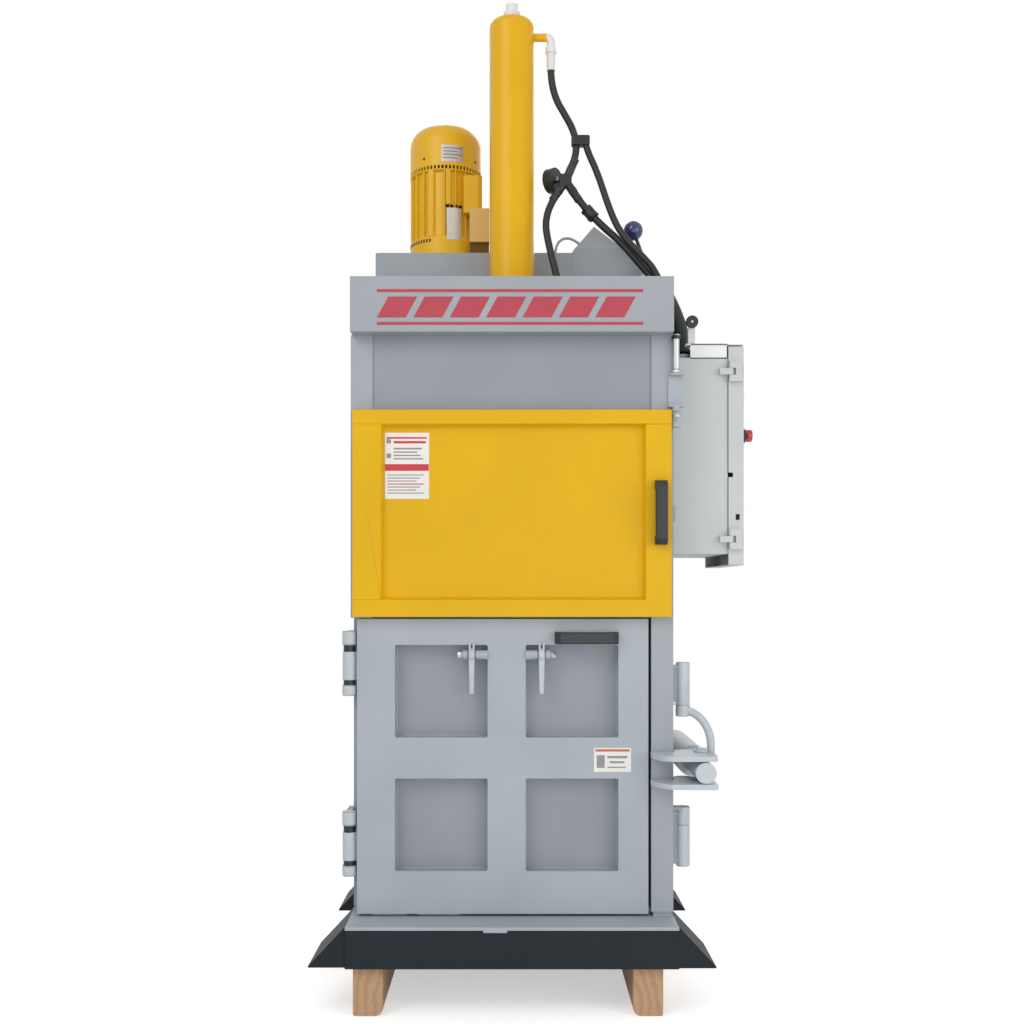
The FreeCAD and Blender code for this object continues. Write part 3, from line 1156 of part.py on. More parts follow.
def lock_tube(span, cap_at_top):
    """A bearing tube for the lock shaft, closed at its outer end and welded to the post."""
    body = rod(LOCK_TUBE_DIAMETER, (LOCK_X, LOCK_Y, span[0]), (LOCK_X, LOCK_Y, span[1]))
    end = span[1] if cap_at_top else span[0]
    body = bevelled(body, LOCK_TUBE_CAP / 2, lambda e: abs(e.CenterOfMass.z - end) < 1)
    pad = box((BODY_HALF, LOCK_X), (LOCK_Y - LOCK_PAD, LOCK_Y + LOCK_PAD),
              (span[0] + LOCK_TUBE_CAP, span[1] - LOCK_TUBE_CAP))
    pieces = [body, pad]
    if not cap_at_top:
        z = (span[1] - LOCK_TUBE_CAP, span[1])
        pieces.append(box((BODY_HALF, LOCK_X), (LOCK_Y - LOCK_TUBE_DIAMETER / 2,
                                                LOCK_Y + LOCK_TUBE_DIAMETER / 2), z))
    low = span[0] - 1 if cap_at_top else span[0] + LOCK_TUBE_CAP
    high = span[1] - LOCK_TUBE_CAP if cap_at_top else span[1] + 1
    bore = rod(LOCK_SHAFT_DIAMETER + 2 * RUN_FIT, (LOCK_X, LOCK_Y, low), (LOCK_X, LOCK_Y, high))
    return fused(pieces).cut(bore)


def strut_bracket():
    """The fork at the back of the strut with its fixed pin."""
    half = STRUT_EYE / 2
    r = STRUT_PIN_DIAMETER
    pieces = []
    for side in (-1, 1):
        z = sorted((LOCK_MID_Z + side * (half + FACE_GAP), LOCK_MID_Z + side * (half + LOCK_PLATE)))
        pieces.append(box((BODY_HALF, LOCK_PIN_X), (STRUT_PIVOT_Y - r, STRUT_PIVOT_Y + r), z))
        pieces.append(rod(2 * r, (LOCK_PIN_X, STRUT_PIVOT_Y, z[0]), (LOCK_PIN_X, STRUT_PIVOT_Y, z[1])))
    reach = half + LOCK_PLATE
    pieces.append(rod(r, (LOCK_PIN_X, STRUT_PIVOT_Y, LOCK_MID_Z - reach),
                      (LOCK_PIN_X, STRUT_PIVOT_Y, LOCK_MID_Z + reach)))
    return pieces


def strut_tube():
    """The strut's sleeve: a front gland for the rod, a long bore and an eye at the back."""
    x, z = LOCK_PIN_X, LOCK_MID_Z
    body = rod(STRUT_DIAMETER, (x, STRUT_FRONT, z), (x, STRUT_BACK, z))
    half = STRUT_EYE / 2
    eye_bar = box((x - half, x + half), (STRUT_BACK, STRUT_PIVOT_Y), (z - half, z + half))
    eye = rod(2 * STRUT_EYE / 1.5, (x, STRUT_PIVOT_Y, z - half), (x, STRUT_PIVOT_Y, z + half))
    bore = rod(STRUT_DIAMETER - 2 * STRUT_WALL, (x, STRUT_FRONT + STRUT_EYE, z),
               (x, STRUT_BACK - STRUT_EYE, z))
    gland = rod(LOCK_ROD_DIAMETER + 2 * RUN_FIT, (x, STRUT_FRONT - 1, z), (x, STRUT_FRONT + STRUT_EYE + 1, z))
    pin = rod(STRUT_PIN_DIAMETER + 2 * RUN_FIT, (x, STRUT_PIVOT_Y, z - 2 * half),
              (x, STRUT_PIVOT_Y, z + 2 * half))
    return cut_all(fused([body, eye_bar, eye]), [bore, gland, pin])


def build_lock():
    """The lock's shaft, yoke, pin, rod and strut sleeve."""
    low = LOCK_TUBE_LOW[0] + LOCK_TUBE_CAP + FACE_GAP
    high = LOCK_TUBE_TOP[1] - LOCK_TUBE_CAP - FACE_GAP
    keep("lock_shaft", rod(LOCK_SHAFT_DIAMETER, (LOCK_X, LOCK_Y, low), (LOCK_X, LOCK_Y, high)))
    keep("lock_plate_lower", lock_plate(LOCK_PLATE_LOW_Z))
    keep("lock_yoke", fused([lock_plate(LOCK_PLATE_HIGH_Z), lock_arch()]))
    top = LOCK_PLATE_HIGH_Z + LOCK_PLATE
    head = rod(LOCK_PIN_HEAD, (LOCK_PIN_X, LOCK_PIN_Y, top), (LOCK_PIN_X, LOCK_PIN_Y, top + LOCK_PLATE / 2))
    pin = rod(LOCK_PIN_DIAMETER, (LOCK_PIN_X, LOCK_PIN_Y, LOCK_PLATE_LOW_Z), (LOCK_PIN_X, LOCK_PIN_Y, top))
    keep("lock_pin", fused([head, pin]))
    x, z = LOCK_PIN_X, LOCK_MID_Z
    rear = STRUT_FRONT + (STRUT_BACK - STRUT_FRONT) / 2
    bar = rod(LOCK_ROD_DIAMETER, (x, LOCK_PLATE_FRONT - 3, z), (x, rear, z))
    reach = LOCK_PIN_DIAMETER / 2 + LOCK_SLOT_REACH / 2
    slot = box((x - reach, x + reach), (LOCK_PIN_Y - LOCK_PIN_DIAMETER * 0.7,
                                        LOCK_PIN_Y + LOCK_PIN_DIAMETER * 0.7), (z - 50, z + 50))
    keep("lock_rod", bar.cut(slot))
    keep("strut_tube", strut_tube())


# ---------------------------------------------------------------- electrical cabinet
def cabinet_box():
    """The cabinet's open-sided box with its fixed hinge leaves, pins and cable holes."""
    x = (BODY_HALF, BODY_HALF + CABINET_DEPTH)
    y = (CABINET_FRONT, CABINET_FRONT + CABINET_LENGTH)
    z = (CABINET_BOTTOM, CABINET_BOTTOM + CABINET_HEIGHT)
    t = CABINET_WALL
    shell = box(x, y, z).cut(box((x[0] + t, x[1] + 1), (y[0] + t, y[1] - t), (z[0] + t, z[1] - t)))
    gland = rod(GLAND_DIAMETER - 4 * t, (GLAND_X, GLAND_Y, z[1] - 2 * t), (GLAND_X, GLAND_Y, z[1] + 1))
    supply_y = y[1] - SUPPLY_INSET
    supply = rod(SUPPLY_HOLE_DIAMETER, (SUPPLY_X, supply_y, z[0] - 1), (SUPPLY_X, supply_y, z[0] + 2 * t))
    ring = tube(GLAND_DIAMETER, GLAND_DIAMETER - 4 * t, (GLAND_X, GLAND_Y, z[1] - t),
                (GLAND_X, GLAND_Y, GLAND_TOP))
    pieces = [cut_all(shell, [gland, supply]), ring]
    third = LID_HINGE_HEIGHT / 3
    r = LID_HINGE_DIAMETER
    for low in (LID_HINGE_LOW, LID_HINGE_HIGH):
        span = (low + third + FACE_GAP, low + 2 * third - FACE_GAP)
        pieces.append(box((x[1] - 2 * r, x[1] - 1), (LID_HINGE_Y - r / 2, y[0]), span))
        pieces.append(box((x[1] - r, LID_HINGE_X), (LID_HINGE_Y - r / 2, LID_HINGE_Y + r / 3), span))
        pieces.append(rod(r, (LID_HINGE_X, LID_HINGE_Y, span[0]), (LID_HINGE_X, LID_HINGE_Y, span[1])))
        pieces.append(rod(LID_PIN_DIAMETER, (LID_HINGE_X, LID_HINGE_Y, low),
                          (LID_HINGE_X, LID_HINGE_Y, low + LID_HINGE_HEIGHT)))
    return fused(pieces)


def cabinet_lid():
    """The lid: a shallow tray that overlaps the box, with its half of both hinges."""
    x, y = (LID_LEFT, LID_RIGHT), (LID_FRONT, LID_BACK)
    z = (CABINET_BOTTOM - LID_OVERLAP_Z, CABINET_BOTTOM + CABINET_HEIGHT + LID_OVERLAP_Z)
    t = LID_WALL
    tray = rounded(box(x, y, z), LID_OVERLAP_Y, "x", lambda e: True)
    tray = tray.cut(box((x[0] - 1, x[1] - t), (y[0] + t, y[1] - t), (z[0] + t, z[1] - t)))
    r = LID_HINGE_DIAMETER
    third = LID_HINGE_HEIGHT / 3
    pieces = [tray]
    cuts = []
    for low in (LID_HINGE_LOW, LID_HINGE_HIGH):
        for part in (0, 2):
            span = (low + part * third, low + (part + 1) * third)
            pieces.append(rod(r, (LID_HINGE_X, LID_HINGE_Y, span[0]), (LID_HINGE_X, LID_HINGE_Y, span[1])))
        pieces.append(box((LID_HINGE_X, LID_RIGHT - r / 2), (LID_HINGE_Y - r / 2, LID_FRONT),
                          (low, low + LID_HINGE_HEIGHT)))
        cuts.append(box((LID_LEFT - r, LID_HINGE_X + r), (LID_HINGE_Y - r, LID_FRONT - 0.01),
                        (low + third, low + 2 * third)))
        cuts.append(rod(LID_PIN_DIAMETER + 2 * RUN_FIT, (LID_HINGE_X, LID_HINGE_Y, low - 1),
                        (LID_HINGE_X, LID_HINGE_Y, low + LID_HINGE_HEIGHT + 1)))
    stem = ESTOP_STEM[0] + 2 * RUN_FIT
    cuts.append(rod(stem, (LID_RIGHT - 2 * t, ESTOP_Y, ESTOP_Z), (LID_RIGHT + 1, ESTOP_Y, ESTOP_Z)))
    cuts.append(box((x[0] - 1, x[0] + r), (y[0] - 1, y[0] + 2 * t), (LID_LOCK_Z - r, LID_LOCK_Z)))
    return cut_all(fused(pieces), cuts)


def build_cabinet():
    """Cabinet, lid, rain roof, gland, emergency stop and pilot lamp."""
    keep("cabinet_box", cabinet_box())
    keep("cabinet_lid", cabinet_lid())
    top = CABINET_BOTTOM + CABINET_HEIGHT
    t = ROOF_THICKNESS
    plate = box((ROOF_LEFT, LID_RIGHT), (LID_FRONT, LID_BACK), (top + ROOF_RISE - t, top + ROOF_RISE))
    back = CABINET_FRONT + CABINET_LENGTH
    leg = box((ROOF_LEFT, ROOF_LEFT + t), (back - 2 * CABINET_LENGTH / 3, back), (top, top + ROOF_RISE))
    rear = box((ROOF_LEFT, BODY_HALF + CABINET_DEPTH), (back - t, back), (top, top + ROOF_RISE))
    well = GLAND_DIAMETER / 2 + 1.5 * MOVE_GAP
    notch = rod(2 * well, (GLAND_X, GLAND_Y, top), (GLAND_X, GLAND_Y, top + 2 * ROOF_RISE))
    keep("cabinet_roof", fused([plate, leg, rear]).cut(notch))
    x = LID_RIGHT
    d, long = ESTOP_COLLAR
    keep("estop_collar", tube(d, ESTOP_STEM[0] + 2 * RUN_FIT, (x, ESTOP_Y, ESTOP_Z),
                              (x + long, ESTOP_Y, ESTOP_Z)))
    face = x + long + ESTOP_TRAVEL + FACE_GAP
    head = rod(ESTOP_BUTTON[0], (face, ESTOP_Y, ESTOP_Z), (face + ESTOP_BUTTON[1], ESTOP_Y, ESTOP_Z))
    head = bevelled(head, ESTOP_BUTTON[1] / 3, lambda e: e.CenterOfMass.x > face + 1)
    stem = rod(ESTOP_STEM[0], (face - ESTOP_STEM[1], ESTOP_Y, ESTOP_Z), (face + 1, ESTOP_Y, ESTOP_Z))
    keep("estop_button", fused([head, stem]))
    lamp = rod(PILOT_SIZE[0], (x, ESTOP_Y, PILOT_Z), (x + PILOT_SIZE[1], ESTOP_Y, PILOT_Z))
    keep("pilot_lamp", bevelled(lamp, PILOT_SIZE[1] / 3, lambda e: e.CenterOfMass.x > x + 1))


def build_switches():
    """The bracket, limit switch and plunger beside the feed door, and the roller switch."""
    x, z = BRACKET_X, BRACKET_Z
    plate = box(x, (-BRACKET_THICKNESS, 0), z)
    foot = box((x[0], x[1]), (SWITCH_Y - SWITCH_DIAMETER / 2, 0), (z[0] - BRACKET_THICKNESS, z[0]))
    shelf = box((x[0] + 4, x[1]), (SWITCH_Y - SWITCH_DIAMETER / 2, 0), (z[1], z[1] + BRACKET_THICKNESS))
    sx, sy = SWITCH_X, SWITCH_Y
    low = z[0] - BRACKET_THICKNESS
    plunger = [rod(8, (sx, sy, low - PLUNGER_DROP), (sx, sy, low)),
               rod(24, (sx, sy, low - 12), (sx, sy, low)),
               rod(28, (sx, sy, low - PLUNGER_DROP), (sx, sy, low - PLUNGER_DROP + 14))]
    keep("switch_bracket", fused([plate, foot, shelf] + plunger))
    base = z[1] + BRACKET_THICKNESS
    stud = rod(SWITCH_DIAMETER / 2, (sx, sy, base), (sx, sy, base + SWITCH_STUD))
    body = rod(SWITCH_DIAMETER, (sx, sy, base + SWITCH_STUD - MOVE_GAP), (sx, sy, base + SWITCH_LENGTH))
    cap = rod(SWITCH_DIAMETER * 1.25, (sx, sy, base + SWITCH_LENGTH), (sx, sy, base + SWITCH_LENGTH + 12))
    keep("limit_switch", fused([stud, body, cap]))
    x, y = TRAVEL_SWITCH_X, TRAVEL_SWITCH_Y
    size = TRAVEL_BODY_SIZE
    low = CABINET_BOTTOM + CABINET_HEIGHT + ROOF_RISE
    half = size[0] / 2
    high = low + size[2]
    axis = high + TRAVEL_ROLLER_DIAMETER / 2 - MOVE_GAP
    arm_y = (y - size[1] / 2, y - size[1] / 2 + 6)
    pin_y = (arm_y[0] - TRAVEL_ROLLER_WIDTH - 2, arm_y[1])
    body = [box((x - half, x + half), (y - size[1] / 2, y + size[1] / 2), (low, high)),
            box((x - 6, x + 6), arm_y, (high, axis + 6)), rod(8, (x, pin_y[0], axis), (x, pin_y[1], axis))]
    keep("travel_switch_body", fused(body))
    keep("travel_switch_roller", tube(TRAVEL_ROLLER_DIAMETER, 8 + 2 * RUN_FIT, (x, pin_y[0], axis),
                                      (x, pin_y[0] + TRAVEL_ROLLER_WIDTH, axis)))


# ---------------------------------------------------------------- hoses and gauge
def route_arcs(points):
    """The arc at each inner point of a route, as its start, middle and end."""
    arcs = []
    for before, here, after in zip(points, points[1:], points[2:]):
        a, b, c = V(*before), V(*here), V(*after)
        back, on = (a - b), (c - b)
        short = min(back.Length, on.Length)
        back.normalize()
        on.normalize()
        turn = math.pi - back.getAngle(on)
        reach = ARC_SHARE * short
        radius = reach / math.tan(turn / 2)
        middle_way = (back + on).normalize()
        middle = b + middle_way * (radius / math.cos(turn / 2) - radius)
        arcs.append((b + back * reach, middle, b + on * reach, radius))
    return arcs


def hose(name, points, diameter):
    """A round hose along straight runs joined by tangent arcs; its radii are printed."""
    arcs = route_arcs(points)
    edges = []
    at = V(*points[0])
    for start, middle, end, _ in arcs:
        edges.append(Part.LineSegment(at, start).toShape())
        edges.append(Part.Arc(start, middle, end).toShape())
        at = end
    edges.append(Part.LineSegment(at, V(*points[-1])).toShape())
    path = Part.Wire(edges)
    way = V(*points[1]) - V(*points[0])
    circle = Part.Wire(Part.makeCircle(diameter / 2, V(*points[0]), way))
    solid = path.makePipeShell([circle], True, False)
    share = solid.Volume / (math.pi * diameter ** 2 / 4 * path.Length)
    radii = ", ".join(f"{arc[3]:.0f}" for arc in arcs)
    print(f"{name}: length {path.Length:.0f}, volume share {share:.4f}, radii {radii}")
    keep(name, solid, cord=True)


def route(points, low, high):
    """The route's points with each share of the height turned into a height."""
    return [(x, y, low + share * (high - low)) for x, y, share in points]


def outlet(point):
    """The tee's outlet that faces a point, and the place where a hose ends inside it."""
    centre = V(*TEE_PLACE)
    way = (V(*point) - centre).normalize()
    diameter, reach = TEE_OUTLET
    seat = centre + way * (reach - HOSE_SEAT)
    return rod(diameter, TEE_PLACE, centre + way * reach), tuple(seat)


def build_gauge(outlets):
    """The gauge on the tee's stem; its dial faces left and a little to the back."""
    tx, ty, tz = TEE_PLACE
    half = [size / 2 for size in TEE_SIZE]
    core = box((tx - half[0], tx + half[0]), (ty - half[1], ty + half[1]), (tz - half[2], tz + half[2]))
    z = tz + half[2] - GAUGE_STEM / 2 - 2
    depth = GAUGE_DEPTH / 2
    stem = rod(GAUGE_STEM, (tx, ty, z), (tx, ty - GAUGE_REACH + depth - 3, z))
    case = rod(GAUGE_DIAMETER, (tx, ty - GAUGE_REACH - depth, z), (tx, ty - GAUGE_REACH + depth, z))
    face_y = ty - GAUGE_REACH - depth
    dish = rod(GAUGE_DIAMETER - 10, (tx, face_y - 1, z), (tx, face_y + 6, z))
    axle = rod(4, (tx, face_y + 2, z), (tx, face_y + 7, z))
    needle = box((tx - 2, tx + 2), (face_y + 2.5, face_y + 4.5), (z - 10, z + GAUGE_DIAMETER / 3))
    hub = rod(10, (tx, face_y + 2.5, z), (tx, face_y + 4.5, z))
    bore = rod(4 + 2 * RUN_FIT, (tx, face_y, z), (tx, face_y + 8, z))
    pieces = {"gauge_tee": stem, "gauge_body": fused([case.cut(stem).cut(dish), axle]),
              "gauge_needle": fused([needle, hub]).cut(bore)}
    for name, shape in pieces.items():
        shape.rotate(V(tx, ty, tz), V(0, 0, 1), -90 - GAUGE_TURN)
        if name == "gauge_tee":
            shape = fused([core, shape] + outlets)
        keep(name, shape, cord=True)


def build_hoses():
    """The hoses, the cable and the conduit into the cabinet, with the tee that joins them."""
    sleeve_end = CYLINDER_TOP - PORT_DROP - PORT_LENGTH - SLEEVE_LENGTH
    tee_z = TEE_PLACE[2]
    upper = route(HOSE_UPPER, tee_z - 6, sleeve_end)
    lower = route(HOSE_LOWER, TOP_PLATE_TOP + 35, tee_z)
    branch = route(HOSE_BRANCH, CONDUIT_TOP, tee_z)
    outlets = [outlet(points) for points in (upper[-1], lower[0], branch[0])]
    build_gauge([shape for shape, _ in outlets])
    seats = [seat for _, seat in outlets]
    hose("hose_upper", [(ELBOW_X, CYLINDER_Y, sleeve_end + HOSE_SEAT)] + upper + [seats[0]], HOSE_DIAMETER)
    hose("hose_lower", [seats[1]] + lower, HOSE_DIAMETER)
    hose("hose_branch", [seats[2]] + branch, BRANCH_DIAMETER)
    hose("cable_branch", route(CABLE_BRANCH, CONDUIT_TOP, tee_z), CABLE_DIAMETER)
    wx, wy = WRAP_PLACE
    wz = TOP_PLATE_TOP + WRAP_RISE
    half = (WRAP_SIZE[0] / 2, WRAP_SIZE[1] / 2)
    wrap = box((wx - half[0], wx + half[0]), (wy - half[1], wy + half[1]), (wz, wz + WRAP_HEIGHT))
    keep("hose_wrap", wrap, cord=True)
    foot = lower[-1]
    SHAPES["top_plate"] = fused([SHAPES["top_plate"], rod(36, (foot[0], foot[1], TOP_PLATE_TOP), foot)])
    conduit = route(CONDUIT_ROUTE, GLAND_TOP, CONDUIT_TOP)
    hose("cabinet_conduit", conduit + [(GLAND_X, GLAND_Y, GLAND_TOP)], CONDUIT_DIAMETER)


def build_frame_fittings():
    """Weld the hinge halves, lock tubes and strut fork to the walls that carry them."""
    left = [SHAPES.pop("post_front_left"), SHAPES["wall_left"]]
    left += [SHAPES.pop(f"bale_hinge_{name}_bracket") for name in ("lower", "upper")]
    left += [SHAPES.pop(f"feed_hinge_{name}_leaf") for name in ("lower", "upper")]
    SHAPES["wall_left"] = fused(left)
    strike = box((BODY_HALF, BODY_HALF + 6.0), (2.0, 30.0), STRIKE_Z)
    right = [SHAPES.pop("post_front_right"), SHAPES["wall_right"], strike,
             lock_tube(LOCK_TUBE_TOP, True), lock_tube(LOCK_TUBE_LOW, False)]
    SHAPES["wall_right"] = fused(right)
    rear = [SHAPES.pop("post_rear_left"), SHAPES.pop("post_rear_right"), SHAPES["wall_rear"]]
    SHAPES["wall_rear"] = fused(rear + strut_bracket())
    SHAPES["upper_panel"] = fused([SHAPES["upper_panel"], SHAPES.pop("feed_lintel")])
    crown = [SHAPES.pop(f"crown_side_{name}") for name in ("left", "right")]
    crown[1] = crown[1].cut(box((POST_INNER, BASE_WIDTH), CROWN_NOTCH_Y,
                                (HEADER_TOP - CROWN_NOTCH_DEPTH, HEADER_TOP + 1)))
    SHAPES["top_plate"] = fused([SHAPES["top_plate"]] + crown)
    wings = [SHAPES.pop(f"wing_{end}_{side}") for end in ("front", "rear") for side in ("left", "right")]
    SHAPES["base_frame"] = fused([SHAPES["base_frame"]] + wings)
    ribs = [SHAPES.pop(name) for name in sorted(SHAPES) if name.startswith("floor_rib_")]
    SHAPES["deck_plate"] = fused([SHAPES["deck_plate"]] + ribs)
    door = [SHAPES["bale_door"]]
    door += [SHAPES.pop(f"bale_hinge_{name}_barrel") for name in ("lower", "upper")]
    door += [SHAPES.pop(f"strap_lever_pin_{name}") for name in ("left", "right")]
    door.append(SHAPES.pop("door_roller_pin"))
    SHAPES["bale_door"] = fused(door)
    for kind in ("bale", "feed"):
        pins = [SHAPES.pop(f"{kind}_hinge_{name}_pin") for name in ("lower", "upper")]
        SHAPES[f"{kind}_hinge_pins"] = Part.makeCompound(pins)


def export():
    """Centre the machine on its footprint and write one STEP file for each node."""
    solid = Part.makeCompound([shape for name, shape in SHAPES.items() if name not in CORDS])
    bounds = solid.optimalBoundingBox(False, False)
    shift = V(-(bounds.XMin + bounds.XMax) / 2, -(bounds.YMin + bounds.YMax) / 2, -bounds.ZMin)
    os.makedirs("parts", exist_ok=True)
    print(f"origin shift {shift.x:.3f} {shift.y:.3f} {shift.z:.3f}, {len(SHAPES)} nodes")
    for name, shape in SHAPES.items():
        moved = shape.copy()
        moved.translate(shift)
        moved.exportStep(f"parts/{name}.step")
        if not moved.isValid():
            print(f"{name} is not valid")


def main():
    """Build every piece and write the files."""
    build_base()
    build_body()
    build_bale_door()
    build_feed_door()
    build_ram()
    build_power_pack()
    build_lock()
    build_cabinet()
    build_switches()
    build_frame_fittings()
    build_hoses()
    export()


if __name__ == "__main__":
    main()
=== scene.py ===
"""Looks of an upright recycling baler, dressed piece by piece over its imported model.

Places are given in the machine's own millimetres: X = 0 at the middle of the press body,
Y = 0 on the front of the bale door and Z = 0 on the floor.  The function spot() turns
them into the scene's metres.
"""
import logging
import math
from dataclasses import dataclass
from enum import Enum
from typing import Dict, Iterable, List, Optional, Sequence, Tuple, TypeVar, Union

import bmesh
import bpy
from mathutils import Matrix, Vector


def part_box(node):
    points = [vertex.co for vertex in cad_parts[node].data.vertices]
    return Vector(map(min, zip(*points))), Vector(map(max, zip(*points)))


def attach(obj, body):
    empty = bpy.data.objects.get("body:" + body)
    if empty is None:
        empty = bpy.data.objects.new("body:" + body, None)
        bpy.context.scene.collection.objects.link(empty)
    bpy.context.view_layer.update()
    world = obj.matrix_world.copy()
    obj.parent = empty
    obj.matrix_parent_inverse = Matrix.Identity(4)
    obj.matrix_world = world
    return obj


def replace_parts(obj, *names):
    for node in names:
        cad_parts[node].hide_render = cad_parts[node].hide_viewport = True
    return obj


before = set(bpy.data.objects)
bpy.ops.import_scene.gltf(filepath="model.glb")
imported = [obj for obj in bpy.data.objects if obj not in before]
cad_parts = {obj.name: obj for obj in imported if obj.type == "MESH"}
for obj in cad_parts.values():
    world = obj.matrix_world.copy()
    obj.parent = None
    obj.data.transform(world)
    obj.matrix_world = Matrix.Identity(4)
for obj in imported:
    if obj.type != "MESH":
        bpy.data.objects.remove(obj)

logging.basicConfig(level=logging.INFO, format="%(message)s")
LOG = logging.getLogger("baler")

Pair = Tuple[float, float]
Triple = Tuple[float, float, float]
Colour = Tuple[float, float, float, float]
Settings = Dict[Union[str, int], object]
Item = TypeVar("Item")
Shape = bmesh.types.BMesh
Vertex = bmesh.types.BMVert
Tree = bpy.types.NodeTree
Socket = bpy.types.NodeSocket

UP = Vector((0.0, 0.0, 1.0))
RIGHT = Vector((1.0, 0.0, 0.0))
TO_FRONT = Vector((0.0, -1.0, 0.0))
TO_BACK = Vector((0.0, 1.0, 0.0))
MM_PER_M = 1000.0
WHITE = (1.0, 1.0, 1.0, 1.0)
EDGE_SEGMENTS = 2
EDGE_DEG = 38.0
SMOOTH_DEG = 35.0
CURVE_DEG = 30.0
FLAT_DEG = 0.8
WELD_REACH = 0.00001
NORMAL_WEIGHT = 80

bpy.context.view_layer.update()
HEADER_CORNER = Vector((-0.480, -0.050, 2.010))
ORIGIN = Vector(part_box("header_beam")[0]) - HEADER_CORNER


def spot(x: float, y: float, z: float) -> Vector:
    """Turn a place in the machine's millimetres into the scene's metres.

    Args:
        x: Distance to the right of the body's middle.
        y: Distance behind the bale door's front.
        z: Height over the floor.

    Returns:
        The place in the scene.
    """
    return Vector((x, y, z)) / MM_PER_M + ORIGIN


class Head(Enum):
    """The head of a fastener: its number of sides and its height over its width."""

    HEX = (6, 0.62)
    BUTTON = (20, 0.42)
    CAP = (20, 0.85)


# ---------------------------------------------------------------- finishes
def linear(code: str) -> Colour:
    """Turn an sRGB hex colour into linear light.

    Args:
        code: The colour, such as "#9fa3a6".

    Returns:
        Red, green, blue and alpha.
    """
    values = []
    for start in (1, 3, 5):
        share = int(code[start:start + 2], 16) / 255.0
        values.append(share / 12.92 if share <= 0.04045 else ((share + 0.055) / 1.055) ** 2.4)
    return (values[0], values[1], values[2], 1.0)


def shaded(code: str, share: float) -> Colour:
    """Turn an sRGB hex colour into linear light and scale it.

    Args:
        code: The colour.
        share: The factor on its light.

    Returns:
        Red, green and blue, none over 1, and alpha.
    """
    return tuple(min(1.0, value * share) for value in linear(code)[:3]) + (1.0,)


def node(tree: Tree, kind: str, values: Optional[Settings] = None,
         links: Optional[Settings] = None, **options: object) -> bpy.types.Node:
    """Add one node with its options, socket values and incoming links.

    Args:
        tree: The material's node tree.
        kind: The node's type name, without its ShaderNode prefix.
        values: Values for input sockets by name or number.
        links: Output sockets to link into input sockets by name or number.
        options: The node's own properties.

    Returns:
        The new node.
    """
    made = tree.nodes.new("ShaderNode" + kind)
    for key, value in options.items():
        setattr(made, key, value)
    for key, value in (values or {}).items():
        made.inputs[key].default_value = value
    for key, output in (links or {}).items():
        tree.links.new(output, made.inputs[key])
    return made


def blend(tree: Tree, factor: Socket, low: Colour, high: Colour,
          stops: Pair = (0.0, 1.0)) -> Socket:
    """Blend between two colours.

    Args:
        tree: The material's node tree.
        factor: The socket that drives the blend.
        low: The colour at low values.
        high: The colour at high values.
        stops: Where the blend begins and ends.

    Returns:
        The blended colour's socket.
    """
    ramp = node(tree, "ValToRGB", {}, {"Fac": factor})
    for element, colour, stop in zip(ramp.color_ramp.elements, (low, high), stops):
        element.position = stop
        element.color = colour
    return ramp.outputs[0]


@dataclass(frozen=True)
class Finish:
    """A surface finish.  Subclasses add the nodes of their own kind of surface."""

    name: str
    colour: str

    def material(self) -> bpy.types.Material:
        """Return the material, made once and then shared."""
        known = bpy.data.materials.get(self.name)
        if known is not None:
            return known
        made = bpy.data.materials.new(self.name)
        made.use_nodes = True
        tree = made.node_tree
        tree.nodes.clear()
        out = node(tree, "OutputMaterial")
        place = node(tree, "TexCoord").outputs["Object"]
        tree.links.new(self.surface(tree, place), out.inputs["Surface"])
        made.diffuse_color = linear(self.colour)
        return made

    def surface(self, tree: Tree, place: Socket) -> Socket:
        """Build the shader and return its output."""
        raise NotImplementedError


@dataclass(frozen=True)
class PowderCoat(Finish):
    """Powder coat on sheet steel: an even colour with a fine orange peel and faint scuffs."""

    roughness: float = 0.46
    peel_mm: float = 3.0
    peel_depth: float = 0.05
    drift: float = 0.05
    scuffs: str = "#d9dcdf"
    scuff_share: float = 0.10
    shine: float = 0.5

    def surface(self, tree: Tree, place: Socket) -> Socket:
        """Coat with slow drift of shade, scuffs and peel."""
        slow = node(tree, "TexNoise", {"Scale": 3.2, "Detail": 3.0, "Roughness": 0.55},
                    {"Vector": place})
        shade = blend(tree, slow.outputs["Fac"], shaded(self.colour, 1.0 - 1.4 * self.drift),
                      shaded(self.colour, 1.0 + self.drift), (0.32, 0.68))
        stretch = node(tree, "Mapping", {"Scale": (70.0, 70.0, 9.0)}, {"Vector": place})
        marks = node(tree, "TexNoise", {"Scale": 1.0, "Detail": 5.0, "Roughness": 0.7},
                     {"Vector": stretch.outputs[0]})
        worn = node(tree, "MapRange",
                    {"From Min": 0.66, "From Max": 0.80, "To Max": self.scuff_share},
                    {"Value": marks.outputs["Fac"]})
        tint = node(tree, "Mix", {7: linear(self.scuffs)}, {0: worn.outputs[0], 6: shade},
                    data_type="RGBA")
        peel = node(tree, "TexNoise", {"Scale": MM_PER_M / self.peel_mm, "Detail": 1.0},
                    {"Vector": place})
        bump = node(tree, "Bump", {"Strength": self.peel_depth, "Distance": 0.001},
                    {"Height": peel.outputs["Fac"]})
        gloss = node(tree, "MapRange",
                     {"To Min": self.roughness - 0.06, "To Max": self.roughness + 0.08},
                     {"Value": slow.outputs["Fac"]})
        shader = node(tree, "BsdfPrincipled", {"IOR": 1.5, "Specular IOR Level": self.shine},
                      {"Base Color": tint.outputs[2], "Roughness": gloss.outputs[0],
                       "Normal": bump.outputs[0]})
        return shader.outputs[0]


